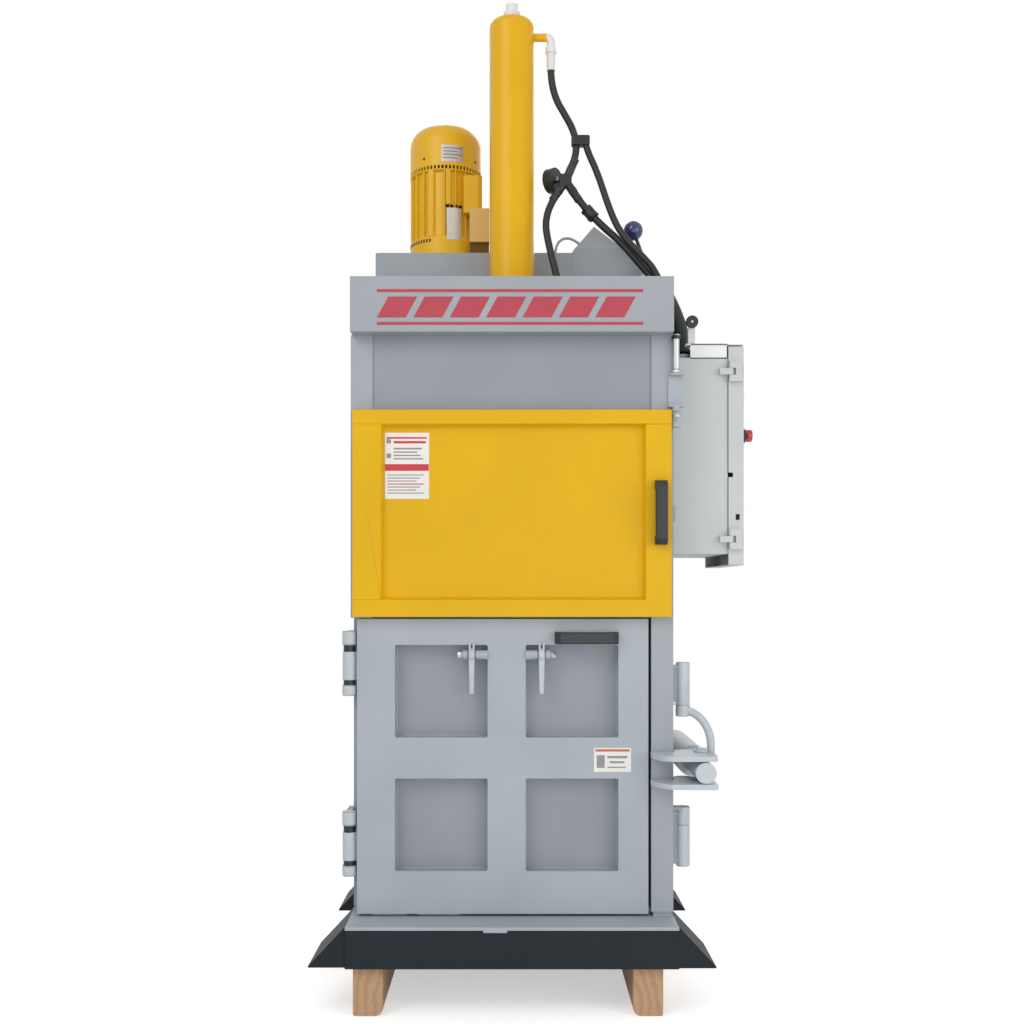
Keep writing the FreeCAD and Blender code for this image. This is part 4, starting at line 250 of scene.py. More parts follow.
@dataclass(frozen=True)
class BareMetal(Finish):
    """Zinc-plated, brushed or chromed steel: a soft streak runs along one axis."""

    roughness: float = 0.32
    streak: Triple = (400.0, 400.0, 30.0)
    mottle: float = 0.12

    def surface(self, tree: Tree, place: Socket) -> Socket:
        """Metal whose roughness follows a fine directional streak."""
        lay = node(tree, "Mapping", {"Scale": self.streak}, {"Vector": place})
        grain = node(tree, "TexNoise", {"Scale": 1.0, "Detail": 4.0}, {"Vector": lay.outputs[0]})
        rough = node(tree, "MapRange", {"To Min": max(0.03, self.roughness - self.mottle),
                                        "To Max": self.roughness + self.mottle},
                     {"Value": grain.outputs["Fac"]})
        tint = blend(tree, grain.outputs["Fac"], shaded(self.colour, 0.82), linear(self.colour))
        shader = node(tree, "BsdfPrincipled", {"Metallic": 1.0},
                      {"Base Color": tint, "Roughness": rough.outputs[0]})
        return shader.outputs[0]


@dataclass(frozen=True)
class Moulding(Finish):
    """Moulded plastic or rubber: a fine spark-eroded grain and soft gloss."""

    roughness: float = 0.45
    grain_mm: float = 1.2
    grain_depth: float = 0.12
    coat: float = 0.0

    def surface(self, tree: Tree, place: Socket) -> Socket:
        """Plastic with a moulded grain and a slow shade of handling."""
        grain = node(tree, "TexNoise", {"Scale": MM_PER_M / self.grain_mm, "Detail": 2.0},
                     {"Vector": place})
        slow = node(tree, "TexNoise", {"Scale": 14.0, "Detail": 3.0}, {"Vector": place})
        tint = blend(tree, slow.outputs["Fac"], shaded(self.colour, 0.88),
                     shaded(self.colour, 1.06))
        bump = node(tree, "Bump", {"Strength": self.grain_depth, "Distance": 0.0006},
                    {"Height": grain.outputs["Fac"]})
        shader = node(tree, "BsdfPrincipled",
                      {"Roughness": self.roughness, "IOR": 1.49, "Coat Weight": self.coat,
                       "Coat Roughness": 0.08},
                      {"Base Color": tint, "Normal": bump.outputs[0]})
        return shader.outputs[0]


@dataclass(frozen=True)
class SawnTimber(Finish):
    """Sawn softwood: long growth rings, fibres along the beam and saw marks across it."""

    late: str = "#946645"
    pale: str = "#caa987"
    ring_mm: float = 14.0
    saw_mm: float = 9.0

    def surface(self, tree: Tree, place: Socket) -> Socket:
        """Rings bent by slow noise, with fibres and saw marks in the bump."""
        lay = node(tree, "Mapping", {"Scale": (1.0, 0.06, 1.0)}, {"Vector": place})
        rings = node(tree, "TexWave", {"Scale": MM_PER_M / self.ring_mm / 6.3, "Distortion": 4.5,
                                       "Detail": 3.0, "Detail Scale": 1.6},
                     {"Vector": lay.outputs[0]},
                     wave_type="RINGS", rings_direction="Y")
        fine = node(tree, "Mapping", {"Scale": (420.0, 12.0, 420.0)}, {"Vector": place})
        fibre = node(tree, "TexNoise", {"Scale": 1.0, "Detail": 5.0}, {"Vector": fine.outputs[0]})
        wood = blend(tree, rings.outputs["Fac"], linear(self.colour), linear(self.late),
                     (0.25, 1.0))
        pale = node(tree, "Mix", {7: linear(self.pale)}, {0: fibre.outputs["Fac"], 6: wood},
                    data_type="RGBA")
        saw = node(tree, "TexWave", {"Scale": MM_PER_M / self.saw_mm / 6.3, "Distortion": 1.2},
                   {"Vector": place}, bands_direction="Y")
        rough = node(tree, "Math", {}, {0: fibre.outputs["Fac"], 1: saw.outputs["Fac"]},
                     operation="ADD")
        bump = node(tree, "Bump", {"Strength": 0.25, "Distance": 0.001},
                    {"Height": rough.outputs[0]})
        shader = node(tree, "BsdfPrincipled", {"Roughness": 0.78},
                      {"Base Color": pale.outputs[2], "Normal": bump.outputs[0]})
        return shader.outputs[0]


@dataclass(frozen=True)
class Glass(Finish):
    """Flat clear glass over the gauge's dial."""

    def surface(self, tree: Tree, place: Socket) -> Socket:
        """Thin clear glass."""
        shader = node(tree, "BsdfPrincipled",
                      {"Base Color": linear(self.colour), "Roughness": 0.03, "IOR": 1.5,
                       "Transmission Weight": 0.95, "Alpha": 0.25})
        return shader.outputs[0]


STEEL_GREY = PowderCoat("grey_powder_coat", "#a6adb5")
HEADER_GREY = PowderCoat("header_grey_powder_coat", "#9da3a9")
# Grey of the upper panel, also used as painted shade on the floors of the bale door's recesses.
PANEL_GREY_AND_RECESS_SHADE = PowderCoat("panel_grey_and_recess_painted_shade", "#91969f")
WALL_GREY = PowderCoat("wall_grey_powder_coat", "#9fa5ac")
LATCH_GREY = PowderCoat("latch_grey_enamel", "#bcc4c9", roughness=0.38, peel_mm=4.0)
DOOR_YELLOW = PowderCoat("yellow_powder_coat", "#dfae00", roughness=0.48, drift=0.035,
                         scuffs="#f3dc8a", shine=0.3)
MACHINE_YELLOW = PowderCoat("yellow_gloss_enamel", "#e6b000", roughness=0.36, peel_mm=5.0,
                            drift=0.04, scuffs="#fbe9a8", shine=0.32)
MOTOR_YELLOW = PowderCoat("yellow_cast_enamel", "#e9b61c", roughness=0.36, peel_mm=2.2,
                          peel_depth=0.12, drift=0.05, scuffs="#f6dc8c", shine=0.35)
BASE_BLACK = PowderCoat("blue_black_powder_coat", "#1a2228", roughness=0.55, drift=0.12,
                        scuffs="#3c464d", scuff_share=0.2, shine=0.22)
CABINET_GREY = PowderCoat("light_grey_enamel", "#c6c9ca", roughness=0.5, peel_mm=2.5, drift=0.03)
MANIFOLD_TAN = PowderCoat("pale_yellow_enamel", "#e0bb73", roughness=0.45, shine=0.3)
# Dark brown painted shade for the set-back stool under the manifold block.
STOOL_PAINTED_SHADE = PowderCoat("stool_painted_shade_brown", "#6f501a", roughness=0.6, shine=0.2)
BLACK_OXIDE = PowderCoat("black_oxide_steel", "#1b1e20", roughness=0.4, drift=0.1, scuffs="#4a4f52")
ZINC = BareMetal("zinc_plated_steel", "#c9ccce", roughness=0.34)
BRUSHED = BareMetal("turned_steel", "#d4d7d9", roughness=0.24, streak=(60.0, 60.0, 900.0))
CHROME = BareMetal("hard_chrome", "#e6e8ea", roughness=0.09, mottle=0.03)
TIMBER = SawnTimber("sawn_softwood", "#b28868")
PLATE_METAL = BareMetal("satin_aluminium", "#f6f3f0", roughness=0.42, mottle=0.06)
BLACK_ABS = Moulding("black_abs", "#22272a", roughness=0.42)
# Black rubber of the hoses and conduit; also the black lines of painted shadow along the roof gap's
# edges.
HOSE_RUBBER_AND_SHADOW_BLACK = Moulding("black_hose_rubber_and_painted_shadow", "#17191a", roughness=0.5, grain_mm=2.0,
                        grain_depth=0.3)
WHITE_PTFE = Moulding("white_nylon", "#e4e6e3", roughness=0.35, grain_depth=0.05)
NAVY_PHENOLIC = Moulding("navy_phenolic", "#1c2a63", roughness=0.16, grain_depth=0.0, coat=0.6)
RED_PLASTIC = Moulding("red_polycarbonate", "#c4242b", roughness=0.25, grain_depth=0.02, coat=0.4)
LAMP_WHITE = Moulding("opal_polycarbonate", "#e6e4df", roughness=0.2, grain_depth=0.0, coat=0.5)
LABEL_WHITE = Moulding("white_vinyl", "#ece9e4", roughness=0.36, grain_depth=0.02)
LABEL_RED = Moulding("red_vinyl", "#c8363c", roughness=0.36, grain_depth=0.02)
LABEL_ORANGE = Moulding("orange_brown_vinyl", "#c2683a", roughness=0.36, grain_depth=0.02)
LABEL_GREY = Moulding("grey_print", "#8e8f92", roughness=0.4, grain_depth=0.02)
STRIPE_RED = Moulding("dull_red_vinyl", "#b5404e", roughness=0.45, grain_depth=0.03)
# Near-black painted shade standing in for the dark inside of vents and slots.
VENT_SHADE_BLACK = Moulding("painted_cavity_shade", "#101314", roughness=0.9)
# White that stands for the bright, lit underside of the cabinet roof and the gap below it: painted
# light.
ROOF_PAINTED_LIGHT = PowderCoat("roof_painted_light_white", "#f2f3f2", roughness=0.5, drift=0.01)
CLEAR_GLASS = Glass("clear_glass", "#ffffff")

# Finish and edge width in millimetres of each CAD node that is shown as it is.
COATS: Tuple[Tuple[Finish, float, Tuple[str, ...]], ...] = (
    (TIMBER, 2.0, ("timber_skid_left", "timber_skid_right")),
    (BASE_BLACK, 1.5, ("base_frame",)),
    (STEEL_GREY, 1.0, ("deck_plate", "switch_bracket")),
    (WALL_GREY, 1.2, ("wall_left", "wall_right", "wall_rear", "feed_sill", "valve_cover")),
    (PANEL_GREY_AND_RECESS_SHADE, 0.8, ("upper_panel",)),
    (HEADER_GREY, 2.0, ("header_beam",)),
    (STEEL_GREY, 1.2, ("top_plate",)),
    (ZINC, 0.0, ("bale_hinge_pins", "feed_hinge_pins")),
    (STEEL_GREY, 1.6, ("bale_door", "press_platen")),
    (BLACK_ABS, 1.0, ("bale_door_handle", "feed_door_handle", "estop_collar",
                      "travel_switch_roller", "gauge_body")),
    (ZINC, 0.8, ("door_roller", "limit_switch")),
    (DOOR_YELLOW, 1.6, ("feed_door",)),
    (LATCH_GREY, 2.6, ("lock_plate_lower",)),
    (LATCH_GREY, 1.5, ("lock_pin",)),
    (LATCH_GREY, 2.0, ("lock_rod", "strut_tube")),
    (WHITE_PTFE, 1.5, ("cylinder_plug",)),
    (WHITE_PTFE, 1.2, ("hose_sleeve",)),
    (CHROME, 0.0, ("piston_rod",)),
    (WALL_GREY, 1.5, ("oil_tank",)),
    (BRUSHED, 0.0, ("motor_rotor",)),
    (ZINC, 1.2, ("valve_block",)),
    (BLACK_ABS, 0.8, ("valve_lever",)),
    (CABINET_GREY, 1.2, ("cabinet_box", "cabinet_lid")),
    # The cabinet roof is white as painted light for its bright underside.
    (ROOF_PAINTED_LIGHT, 0.6, ("cabinet_roof",)),
    (WHITE_PTFE, 1.0, ("travel_switch_body",)),
    (HOSE_RUBBER_AND_SHADOW_BLACK, 0.0, ("cabinet_conduit",)),
    (HOSE_RUBBER_AND_SHADOW_BLACK, 6.0, ("hose_wrap",)),
    (BLACK_OXIDE, 1.5, ("gauge_tee",)),
    (RED_PLASTIC, 0.0, ("gauge_needle",)),
)


# ---------------------------------------------------------------- making pieces
def publish(name: str, shape: Shape, finish: Finish, body: str,
            bevel_mm: float = 0.0, more: Sequence[Finish] = ()) -> bpy.types.Object:
    """Turn a finished bmesh into a piece that rides on a body.

    Args:
        name: The piece's name.
        shape: The mesh in the machine's millimetres; it is freed.
        finish: The finish of its first material slot.
        body: The body that it moves with.
        bevel_mm: The width of a Bevel modifier, or 0 for none.
        more: Finishes of the further slots.

    Returns:
        The new object.
    """
    bmesh.ops.transform(shape, matrix=Matrix.Translation(ORIGIN) @ Matrix.Scale(1 / MM_PER_M, 4),
                        verts=shape.verts)
    mesh = bpy.data.meshes.new(name)
    shape.to_mesh(mesh)
    shape.free()
    piece = bpy.data.objects.new(name, mesh)
    bpy.context.scene.collection.objects.link(piece)
    for each in (finish, *more):
        mesh.materials.append(each.material())
    mesh.shade_smooth()
    mesh.set_sharp_from_angle(angle=math.radians(SMOOTH_DEG))
    if bevel_mm:
        add_bevel(piece, bevel_mm)
        flatten_shading(piece)
    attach(piece, body)
    LOG.info("%s: %d faces on %s", name, len(mesh.polygons), body)
    return piece


def add_bevel(piece: bpy.types.Object, width_mm: float) -> None:
    """Round the sharp edges of a piece with a Bevel modifier."""
    bevel = piece.modifiers.new("edge_round", "BEVEL")
    bevel.width = width_mm / MM_PER_M
    bevel.segments = EDGE_SEGMENTS
    bevel.limit_method = "ANGLE"
    bevel.angle_limit = math.radians(EDGE_DEG)
    bevel.harden_normals = False


def flatten_shading(piece: bpy.types.Object) -> None:
    """Keep flat faces evenly lit beside their rounded edges."""
    weighted = piece.modifiers.new("flat_faces", "WEIGHTED_NORMAL")
    weighted.keep_sharp = True
    weighted.weight = NORMAL_WEIGHT


def once(items: Iterable[Item]) -> List[Item]:
    """Keep each item once, in the order in which they come, so that every run builds alike."""
    return list(dict.fromkeys(items))


def new_shape() -> Shape:
    """Start an empty bmesh."""
    return bmesh.new()


def add_block(shape: Shape, low: Triple, high: Triple, slot: int = 0,
              round_mm: float = 0.0) -> List[Vertex]:
    """Add a box between two corners, with rounded edges where a radius is given.

    Args:
        shape: The bmesh to add to.
        low: The lowest corner in millimetres.
        high: The highest corner.
        slot: The material slot of its faces.
        round_mm: The radius of all its edges.

    Returns:
        The new vertices.
    """
    size = Vector(high) - Vector(low)
    middle = (Vector(high) + Vector(low)) / 2
    matrix = Matrix.Translation(middle) @ Matrix.Diagonal((size.x, size.y, size.z, 1.0))
    made = bmesh.ops.create_cube(shape, size=1.0, matrix=matrix)["verts"]
    faces = {f for v in made for f in v.link_faces}
    for face in faces:
        face.material_index = slot
    if round_mm:
        edges = once(e for v in made for e in v.link_edges)
        made = bmesh.ops.bevel(shape, geom=edges, offset=round_mm, segments=3, profile=0.5,
                               affect="EDGES", material=-1)["verts"]
    return list(made)


def turn_to(axis: Vector) -> Matrix:
    """The rotation that turns the Z axis to a direction."""
    return UP.rotation_difference(axis).to_matrix().to_4x4()


def add_round(shape: Shape, start: Triple, axis: Vector, length: float, width: float,
              sides: int = 32, slot: int = 0) -> List[Vertex]:
    """Add a round or many-sided bar.

    Args:
        shape: The bmesh to add to.
        start: The middle of its first end, in millimetres.
        axis: Its direction.
        length: Its length.
        width: Its diameter.
        sides: Its number of sides.
        slot: The material slot of its faces.

    Returns:
        The new vertices.
    """
    way = axis.normalized()
    middle = Vector(start) + way * (length / 2)
    made = bmesh.ops.create_cone(shape, cap_ends=True, segments=sides, radius1=width / 2,
                                 radius2=width / 2, depth=length,
                                 matrix=Matrix.Translation(middle) @ turn_to(way))["verts"]
    for face in {f for v in made for f in v.link_faces}:
        face.material_index = slot
    return made


def add_turned(shape: Shape, centre: Triple, axis: Vector, profile: Sequence[Pair],
               sides: int = 48, slot: int = 0) -> None:
    """Spin a profile of (radius, height) points round an axis through a centre."""
    older = set(shape.verts)
    verts = [shape.verts.new((radius, 0.0, height)) for radius, height in profile]
    edges = [shape.edges.new(pair) for pair in zip(verts, verts[1:])]
    bmesh.ops.spin(shape, geom=verts + edges, cent=(0, 0, 0), axis=(0, 0, 1),
                   angle=2 * math.pi, steps=sides, use_merge=True)
    bmesh.ops.remove_doubles(shape, verts=[v for v in shape.verts if v not in older], dist=0.001)
    whole = [v for v in shape.verts if v not in older]
    faces = once(f for v in whole for f in v.link_faces)
    bmesh.ops.recalc_face_normals(shape, faces=faces)
    for face in faces:
        face.material_index = slot
    bmesh.ops.transform(shape, matrix=Matrix.Translation(Vector(centre)) @ turn_to(axis),
                        verts=whole)


def add_fastener(shape: Shape, seat: Triple, axis: Vector, width: float, head: Head = Head.HEX,
                 washer: bool = True) -> None:
    """Add a fastener's head on its washer, pointing out of a face.

    Args:
        shape: The bmesh to add to.
        seat: The place of its axis on the face, in millimetres.
        axis: The direction out of the face.
        width: The head's width.
        head: The kind of head.
        washer: Whether it sits on a washer.
    """
    sides, share = head.value
    way = axis.normalized()
    base = Vector(seat) - way * 0.3
    if washer:
        add_round(shape, base, way, width * 0.12 + 0.3, width * 1.7, sides=28)
        base += way * (width * 0.12 + 0.25)
    made = add_round(shape, base, way, width * share, width * 1.1, sides=sides)
    top = once(f for v in made for f in v.link_faces if f.normal.dot(way) > 0.9)
    rim = once(e for f in top for e in f.edges)
    bmesh.ops.bevel(shape, geom=rim, offset=width * 0.08, segments=2, profile=0.5, affect="EDGES",
                    material=-1)


def add_bead(shape: Shape, start: Triple, end: Triple, width: float,
             ripple_mm: float = 5.0) -> None:
    """Add a rippled weld bead between two places."""
    a, b = Vector(start), Vector(end)
    way = b - a
    rings = max(4, int(way.length / ripple_mm * 2))
    made = add_round(shape, a, way, way.length, width, sides=8)
    long_edges = [e for e in once(e for v in made for e in v.link_edges)
                  if abs((e.verts[0].co - e.verts[1].co).length - way.length) < 0.01]
    cut = bmesh.ops.subdivide_edges(shape, edges=long_edges, cuts=rings, use_grid_fill=False)
    unit = way.normalized()
    for vert in {v for v in cut["geom_inner"] if isinstance(v, Vertex)}:
        along = (vert.co - a).dot(unit)
        centre = a + unit * along
        swell = 1.0 + 0.16 * math.sin(2 * math.pi * along / ripple_mm)
        vert.co = centre + (vert.co - centre) * swell


def add_bar(shape: Shape, path: Sequence[Vector], side: Vector, width: float,
            sides: int = 20) -> None:
    """Sweep a round bar along a flat path.

    Args:
        shape: The bmesh to add to.
        path: The places of its middle line.
        side: A direction square to the path's plane.
        width: Its diameter.
        sides: Its number of sides.
    """
    rings = []
    for index, here in enumerate(path):
        way = (path[min(index + 1, len(path) - 1)] - path[max(index - 1, 0)]).normalized()
        up = way.cross(side)
        turns = [2 * math.pi * step / sides for step in range(sides)]
        rings.append([shape.verts.new(here
                                      + (side * math.cos(turn) + up * math.sin(turn)) * width / 2)
                      for turn in turns])
    faces = [shape.faces.new(rings[0]), shape.faces.new(rings[-1])]
    for low, high in zip(rings, rings[1:]):
        faces += [shape.faces.new((low[i - 1], low[i], high[i], high[i - 1])) for i in range(sides)]
    bmesh.ops.recalc_face_normals(shape, faces=faces)


def smooth_group() -> Tree:
    """The node group that shades curved faces smooth and keeps real edges sharp."""
    known = bpy.data.node_groups.get("smooth_curved_faces")
    if known is not None:
        return known
    group = bpy.data.node_groups.new("smooth_curved_faces", "GeometryNodeTree")
    group.interface.new_socket("Geometry", in_out="INPUT", socket_type="NodeSocketGeometry")
    group.interface.new_socket("Geometry", in_out="OUTPUT", socket_type="NodeSocketGeometry")
    start = group.nodes.new("NodeGroupInput")
    end = group.nodes.new("NodeGroupOutput")
    angle = group.nodes.new("GeometryNodeInputMeshEdgeAngle")
    sharp = group.nodes.new("FunctionNodeCompare")
    sharp.operation = "GREATER_THAN"
    sharp.inputs["B"].default_value = math.radians(CURVE_DEG)
    edges = group.nodes.new("GeometryNodeSetShadeSmooth")
    edges.domain = "EDGE"
    edges.inputs["Shade Smooth"].default_value = False
    faces = group.nodes.new("GeometryNodeSetShadeSmooth")
    faces.domain = "FACE"
    group.links.new(angle.outputs["Unsigned Angle"], sharp.inputs["A"])
    group.links.new(start.outputs[0], edges.inputs["Geometry"])
    group.links.new(sharp.outputs["Result"], edges.inputs["Selection"])
    group.links.new(edges.outputs[0], faces.inputs["Geometry"])
    group.links.new(faces.outputs[0], end.inputs[0])
    return group


def dress(name: str, finish: Finish, bevel_mm: float) -> None:
    """Give a CAD node its finish, smooth shading on its curves and softly rounded edges.

    Args:
        name: The CAD node.
        finish: Its finish.
        bevel_mm: The width of its rounded edges, or 0 for none.
    """
    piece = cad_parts[name]
    for slot in piece.material_slots:
        slot.material = finish.material()
    weld = piece.modifiers.new("join_corners", "WELD")
    weld.merge_threshold = WELD_REACH
    if bevel_mm:
        flat = piece.modifiers.new("join_flats", "DECIMATE")
        flat.decimate_type = "DISSOLVE"
        flat.angle_limit = math.radians(FLAT_DEG)
        add_bevel(piece, bevel_mm)
    shade = piece.modifiers.new("smooth_curves", "NODES")
    shade.node_group = smooth_group()
    if bevel_mm:
        flatten_shading(piece)


def quarter(steps: int) -> List[float]:
    """The angles of a quarter circle, from 0 to a right angle in equal steps."""
    return [math.pi / 2 * step / steps for step in range(steps + 1)]


def arc(radius: float, foot: Pair, steps: int = 10) -> List[Pair]:
    """The quarter circle by which a turned wall rounds over into its flat top.

    Args:
        radius: The arc's radius.
        foot: The arc's first point on the wall, as radius and height.
        steps: Its number of steps.

    Returns:
        The points after the foot.
    """
    return [(foot[0] - radius * (1 - math.cos(turn)), foot[1] + radius * math.sin(turn))
            for turn in quarter(steps)[1:]]


# ---------------------------------------------------------------- studio
@dataclass
class Studio:
    """The camera at the photograph's place, a pale floor and soft lamps."""

    lens_mm: float = 43.6
    camera_place: Triple = (0.0, -3720.0, 1240.0)
    shift_up: float = 0.078
    floor_white: str = "#f3f3f2"
    shadow_reach: float = 0.7
    white_reach: float = 1.9
    target: Triple = (0.0, 300.0, 1500.0)
    lamps: Tuple[Tuple[str, Triple, float, float], ...] = (
        ("key", (-2600.0, -3600.0, 4600.0), 2.6, 78.0),
        ("fill", (3400.0, -3300.0, 2200.0), 3.0, 56.0),
        ("low", (500.0, -3900.0, 700.0), 2.2, 26.0),
        ("rear", (600.0, 3600.0, 4200.0), 2.4, 60.0))

    def build(self) -> None:
        """Set the camera, the floor, the world and the lamps."""
        self.add_camera()
        self.add_floor()
        self.add_world()
        for lamp in self.lamps:
            self.add_lamp(*lamp)
        bpy.context.scene.view_settings.view_transform = "Standard"

    def add_camera(self) -> None:
        """Stand the camera level in front of the machine."""
        lens = bpy.data.cameras.new("photograph_view")
        lens.lens = self.lens_mm
        lens.sensor_width = 36.0
        lens.shift_y = self.shift_up
        lens.dof.use_dof = False
        lens.clip_end = 100.0
        camera = bpy.data.objects.new("photograph_view", lens)
        bpy.context.scene.collection.objects.link(camera)
        camera.location = spot(*self.camera_place)
        camera.rotation_euler = (math.radians(90.0), 0.0, 0.0)
        bpy.context.scene.camera = camera

    def add_floor(self) -> None:
        """Lay a wide pale floor that shows white to the camera but keeps the shadow."""
        shape = new_shape()
        bmesh.ops.create_grid(shape, x_segments=4, y_segments=4, size=14.0)
        mesh = bpy.data.meshes.new("floor")
        shape.to_mesh(mesh)
        shape.free()
        floor = bpy.data.objects.new("floor", mesh)
        bpy.context.scene.collection.objects.link(floor)
        made = bpy.data.materials.new("studio_floor")
        made.use_nodes = True
        tree = made.node_tree
        tree.nodes.clear()
        base = node(tree, "BsdfDiffuse", {"Color": linear(self.floor_white)})
        glow = node(tree, "Emission", {"Color": WHITE, "Strength": 0.5})
        both = node(tree, "AddShader", {}, {0: base.outputs[0], 1: glow.outputs[0]})
        white = node(tree, "Emission", {"Color": WHITE, "Strength": 1.0})
        place = node(tree, "TexCoord").outputs["Object"]
        away = node(tree, "VectorMath", {}, {0: place}, operation="LENGTH")
        fade = node(tree, "MapRange", {"From Min": self.shadow_reach, "From Max": self.white_reach},
                    {"Value": away.outputs["Value"]})
        far = node(tree, "MixShader", {},
                   {0: fade.outputs[0], 1: both.outputs[0], 2: white.outputs[0]})
        pick = node(tree, "MixShader", {},
                    {0: self.seen(tree), 1: base.outputs[0], 2: far.outputs[0]})
        node(tree, "OutputMaterial", {}, {"Surface": pick.outputs[0]})
        mesh.materials.append(made)

    def seen(self, tree: Tree) -> Socket:
        """The share of rays that should find the white surroundings."""
        path = node(tree, "LightPath")
        first = node(tree, "Math", {},
                     {0: path.outputs["Is Camera Ray"], 1: path.outputs["Is Glossy Ray"]},
                     operation="MAXIMUM")
        both = node(tree, "Math", {}, {0: first.outputs[0], 1: path.outputs["Is Transmission Ray"]},
                    operation="MAXIMUM")
        return both.outputs[0]

    def add_world(self) -> None:
        """Light the air softly and show white behind the machine."""
        world = bpy.data.worlds.new("studio_air")
        bpy.context.scene.world = world
        world.use_nodes = True
        tree = world.node_tree
        tree.nodes.clear()
        soft = node(tree, "Background", {"Color": WHITE, "Strength": 0.52})
        white = node(tree, "Background", {"Color": WHITE, "Strength": 1.0})
        pick = node(tree, "MixShader", {},
                    {0: self.seen(tree), 1: soft.outputs[0], 2: white.outputs[0]})
        node(tree, "OutputWorld", {}, {"Surface": pick.outputs[0]})

    def add_lamp(self, name: str, place: Triple, size: float, power: float) -> None:
        """Hang a square soft lamp that faces the machine's middle."""
        light = bpy.data.lights.new(name, "AREA")
        light.shape = "SQUARE"
        light.size = size
        light.energy = power
        lamp = bpy.data.objects.new(name, light)
        bpy.context.scene.collection.objects.link(lamp)
        lamp.location = spot(*place)
        aim = spot(*self.target) - lamp.location
        lamp.rotation_euler = aim.to_track_quat("-Z", "Y").to_euler()


# ---------------------------------------------------------------- base and body
@dataclass
class Base:
    """The dark welded base with its folded wings."""

    skid_height: float = 144.0
    base_top: float = 256.0
    half_width: float = 486.0
    front: float = -120.0
    back: float = 780.0
    wing_length: float = 248.0
    weld_ends: Pair = (12.0, 4.0)
    weld_width: float = 6.0

    def build(self) -> None:
        """Add the base's welds."""
        self.welds()

    def welds(self) -> None:
        """Run weld beads where the wings meet the beams."""
        shape = new_shape()
        low, high = self.skid_height + self.weld_ends[0], self.base_top - self.weld_ends[1]
        for side in (-1, 1):
            x = side * (self.half_width + 1.5)
            for y in (self.front + (6.0 if side < 0 else 1.0), self.back - self.wing_length):
                add_bead(shape, (x, y + 1.0, low), (x, y + 1.0, high), self.weld_width)
        publish("base_welds", shape, BASE_BLACK, "frame")


@dataclass
class PressBody:
    """The grey press body: posts, walls, panels, the header and the top plate."""

    stripe_left: float = -400.0
    stripe_right: float = 388.0
    stripe_low: float = 2030.0
    stripe_high: float = 2136.0
    header_front: float = -50.0
    blocks: int = 7
    slant: float = 34.0
    deck_top: float = 266.0
    hinge: Pair = (-490.0, 20.0)
    hinge_feet: Pair = (432.0, 975.0)
    knuckle: Pair = (22.0, 7.0)
    knuckle_spans: Tuple[Pair, ...] = ((-48.0, -15.0), (105.0, 148.0))
    ring_spans: Tuple[Pair, ...] = ((-14.6, -0.6), (85.6, 104.6))
    ledge_spans: Tuple[Pair, ...] = ((-422.0, -318.0), (-284.0, -156.0))

    def build(self) -> None:
        """Add the stripe, the welds, the hinge caps and the ledges."""
        self.stripe()
        self.welds()
        self.hinge_caps()
        self.ledges()

    def hinge_caps(self) -> None:
        """Round the bale door's hinge knuckles over and ring their pins in the gaps."""
        caps, rings, barrels = new_shape(), new_shape(), new_shape()
        radius, edge = self.knuckle
        for foot in self.hinge_feet:
            for low, high in ((foot + start, foot + end) for start, end in self.knuckle_spans):
                wall = [(radius, low + edge), (radius, high - edge)]
                top = wall[-1:] + arc(edge, wall[-1], 5)
                under = [(r, low + high - z) for r, z in top]
                add_turned(caps, (*self.hinge, 0.0), UP,
                           [(0.0, low)] + under[::-1] + top + [(0.0, high)], 40)
            for low, high in ((foot + start, foot + end) for start, end in self.ring_spans):
                add_turned(rings, (*self.hinge, 0.0), UP,
                           [(0.0, low), (18.0, low), (18.0, high), (0.0, high)], 36)
            add_turned(barrels, (*self.hinge, 0.0), UP,
                       [(19.0, foot + 0.4), (20.4, foot + 0.6), (20.8, foot + 3.0),
                        (20.8, foot + 82.0),
                        (20.4, foot + 84.4), (19.0, foot + 84.6), (19.0, foot + 0.4)], 40)
        publish("hinge_knuckle_caps", caps, LATCH_GREY, "frame")
        publish("hinge_pin_rings", rings, BLACK_OXIDE, "frame")
        publish("hinge_barrel_sleeves", barrels, LATCH_GREY, "bale_door")

    def ledges(self) -> None:
        """Lay the light ledge strips on the deck under the bale door."""
        shape = new_shape()
        for left, right in self.ledge_spans:
            add_block(shape, (left, 20.0, self.deck_top - 0.2), (right, 34.0, self.deck_top + 6.0))
        publish("deck_ledges", shape, LATCH_GREY, "frame", bevel_mm=0.8)

    def stripe(self) -> None:
        """Lay a plain geometric stripe on the header: slanted bars between two thin lines."""
        shape = new_shape()
        y = (self.header_front - 0.5, self.header_front)
        low, high = self.stripe_low, self.stripe_high
        add_block(shape, (self.stripe_left, y[0], low), (self.stripe_right, y[1], low + 9.0))
        add_block(shape, (self.stripe_left, y[0], high - 9.0), (self.stripe_right, y[1], high))
        pitch = (self.stripe_right - self.stripe_left - self.slant) / self.blocks
        for number in range(self.blocks):
            left = self.stripe_left + number * pitch
            made = add_block(shape, (left, y[0], low + 22.0),
                             (left + pitch - 22.0, y[1], high - 22.0))
            for vert in made:
                if vert.co.z > (low + high) / 2:
                    vert.co.x += self.slant
        publish("header_stripe", shape, STRIPE_RED, "frame")

    def welds(self) -> None:
        """Run weld beads along the seams of the header and the feet of the posts."""
        shape = new_shape()
        for side in (-1, 1):
            x = side * 484.0
            add_bead(shape, (side * 480.5, 76.0, 2036.0), (side * 480.5, 76.0, 2170.0), 5.0)
            add_bead(shape, (x, 702.0, 2011.0), (x - side * 60.0, 702.0, 2011.0), 6.0)
        add_bead(shape, (-418.0, 77.0, 267.5), (-484.0, 77.0, 267.5), 5.0)
        add_bead(shape, (424.0, 5.0, 267.5), (478.0, 5.0, 267.5), 5.0)
        publish("body_welds", shape, WALL_GREY, "frame")


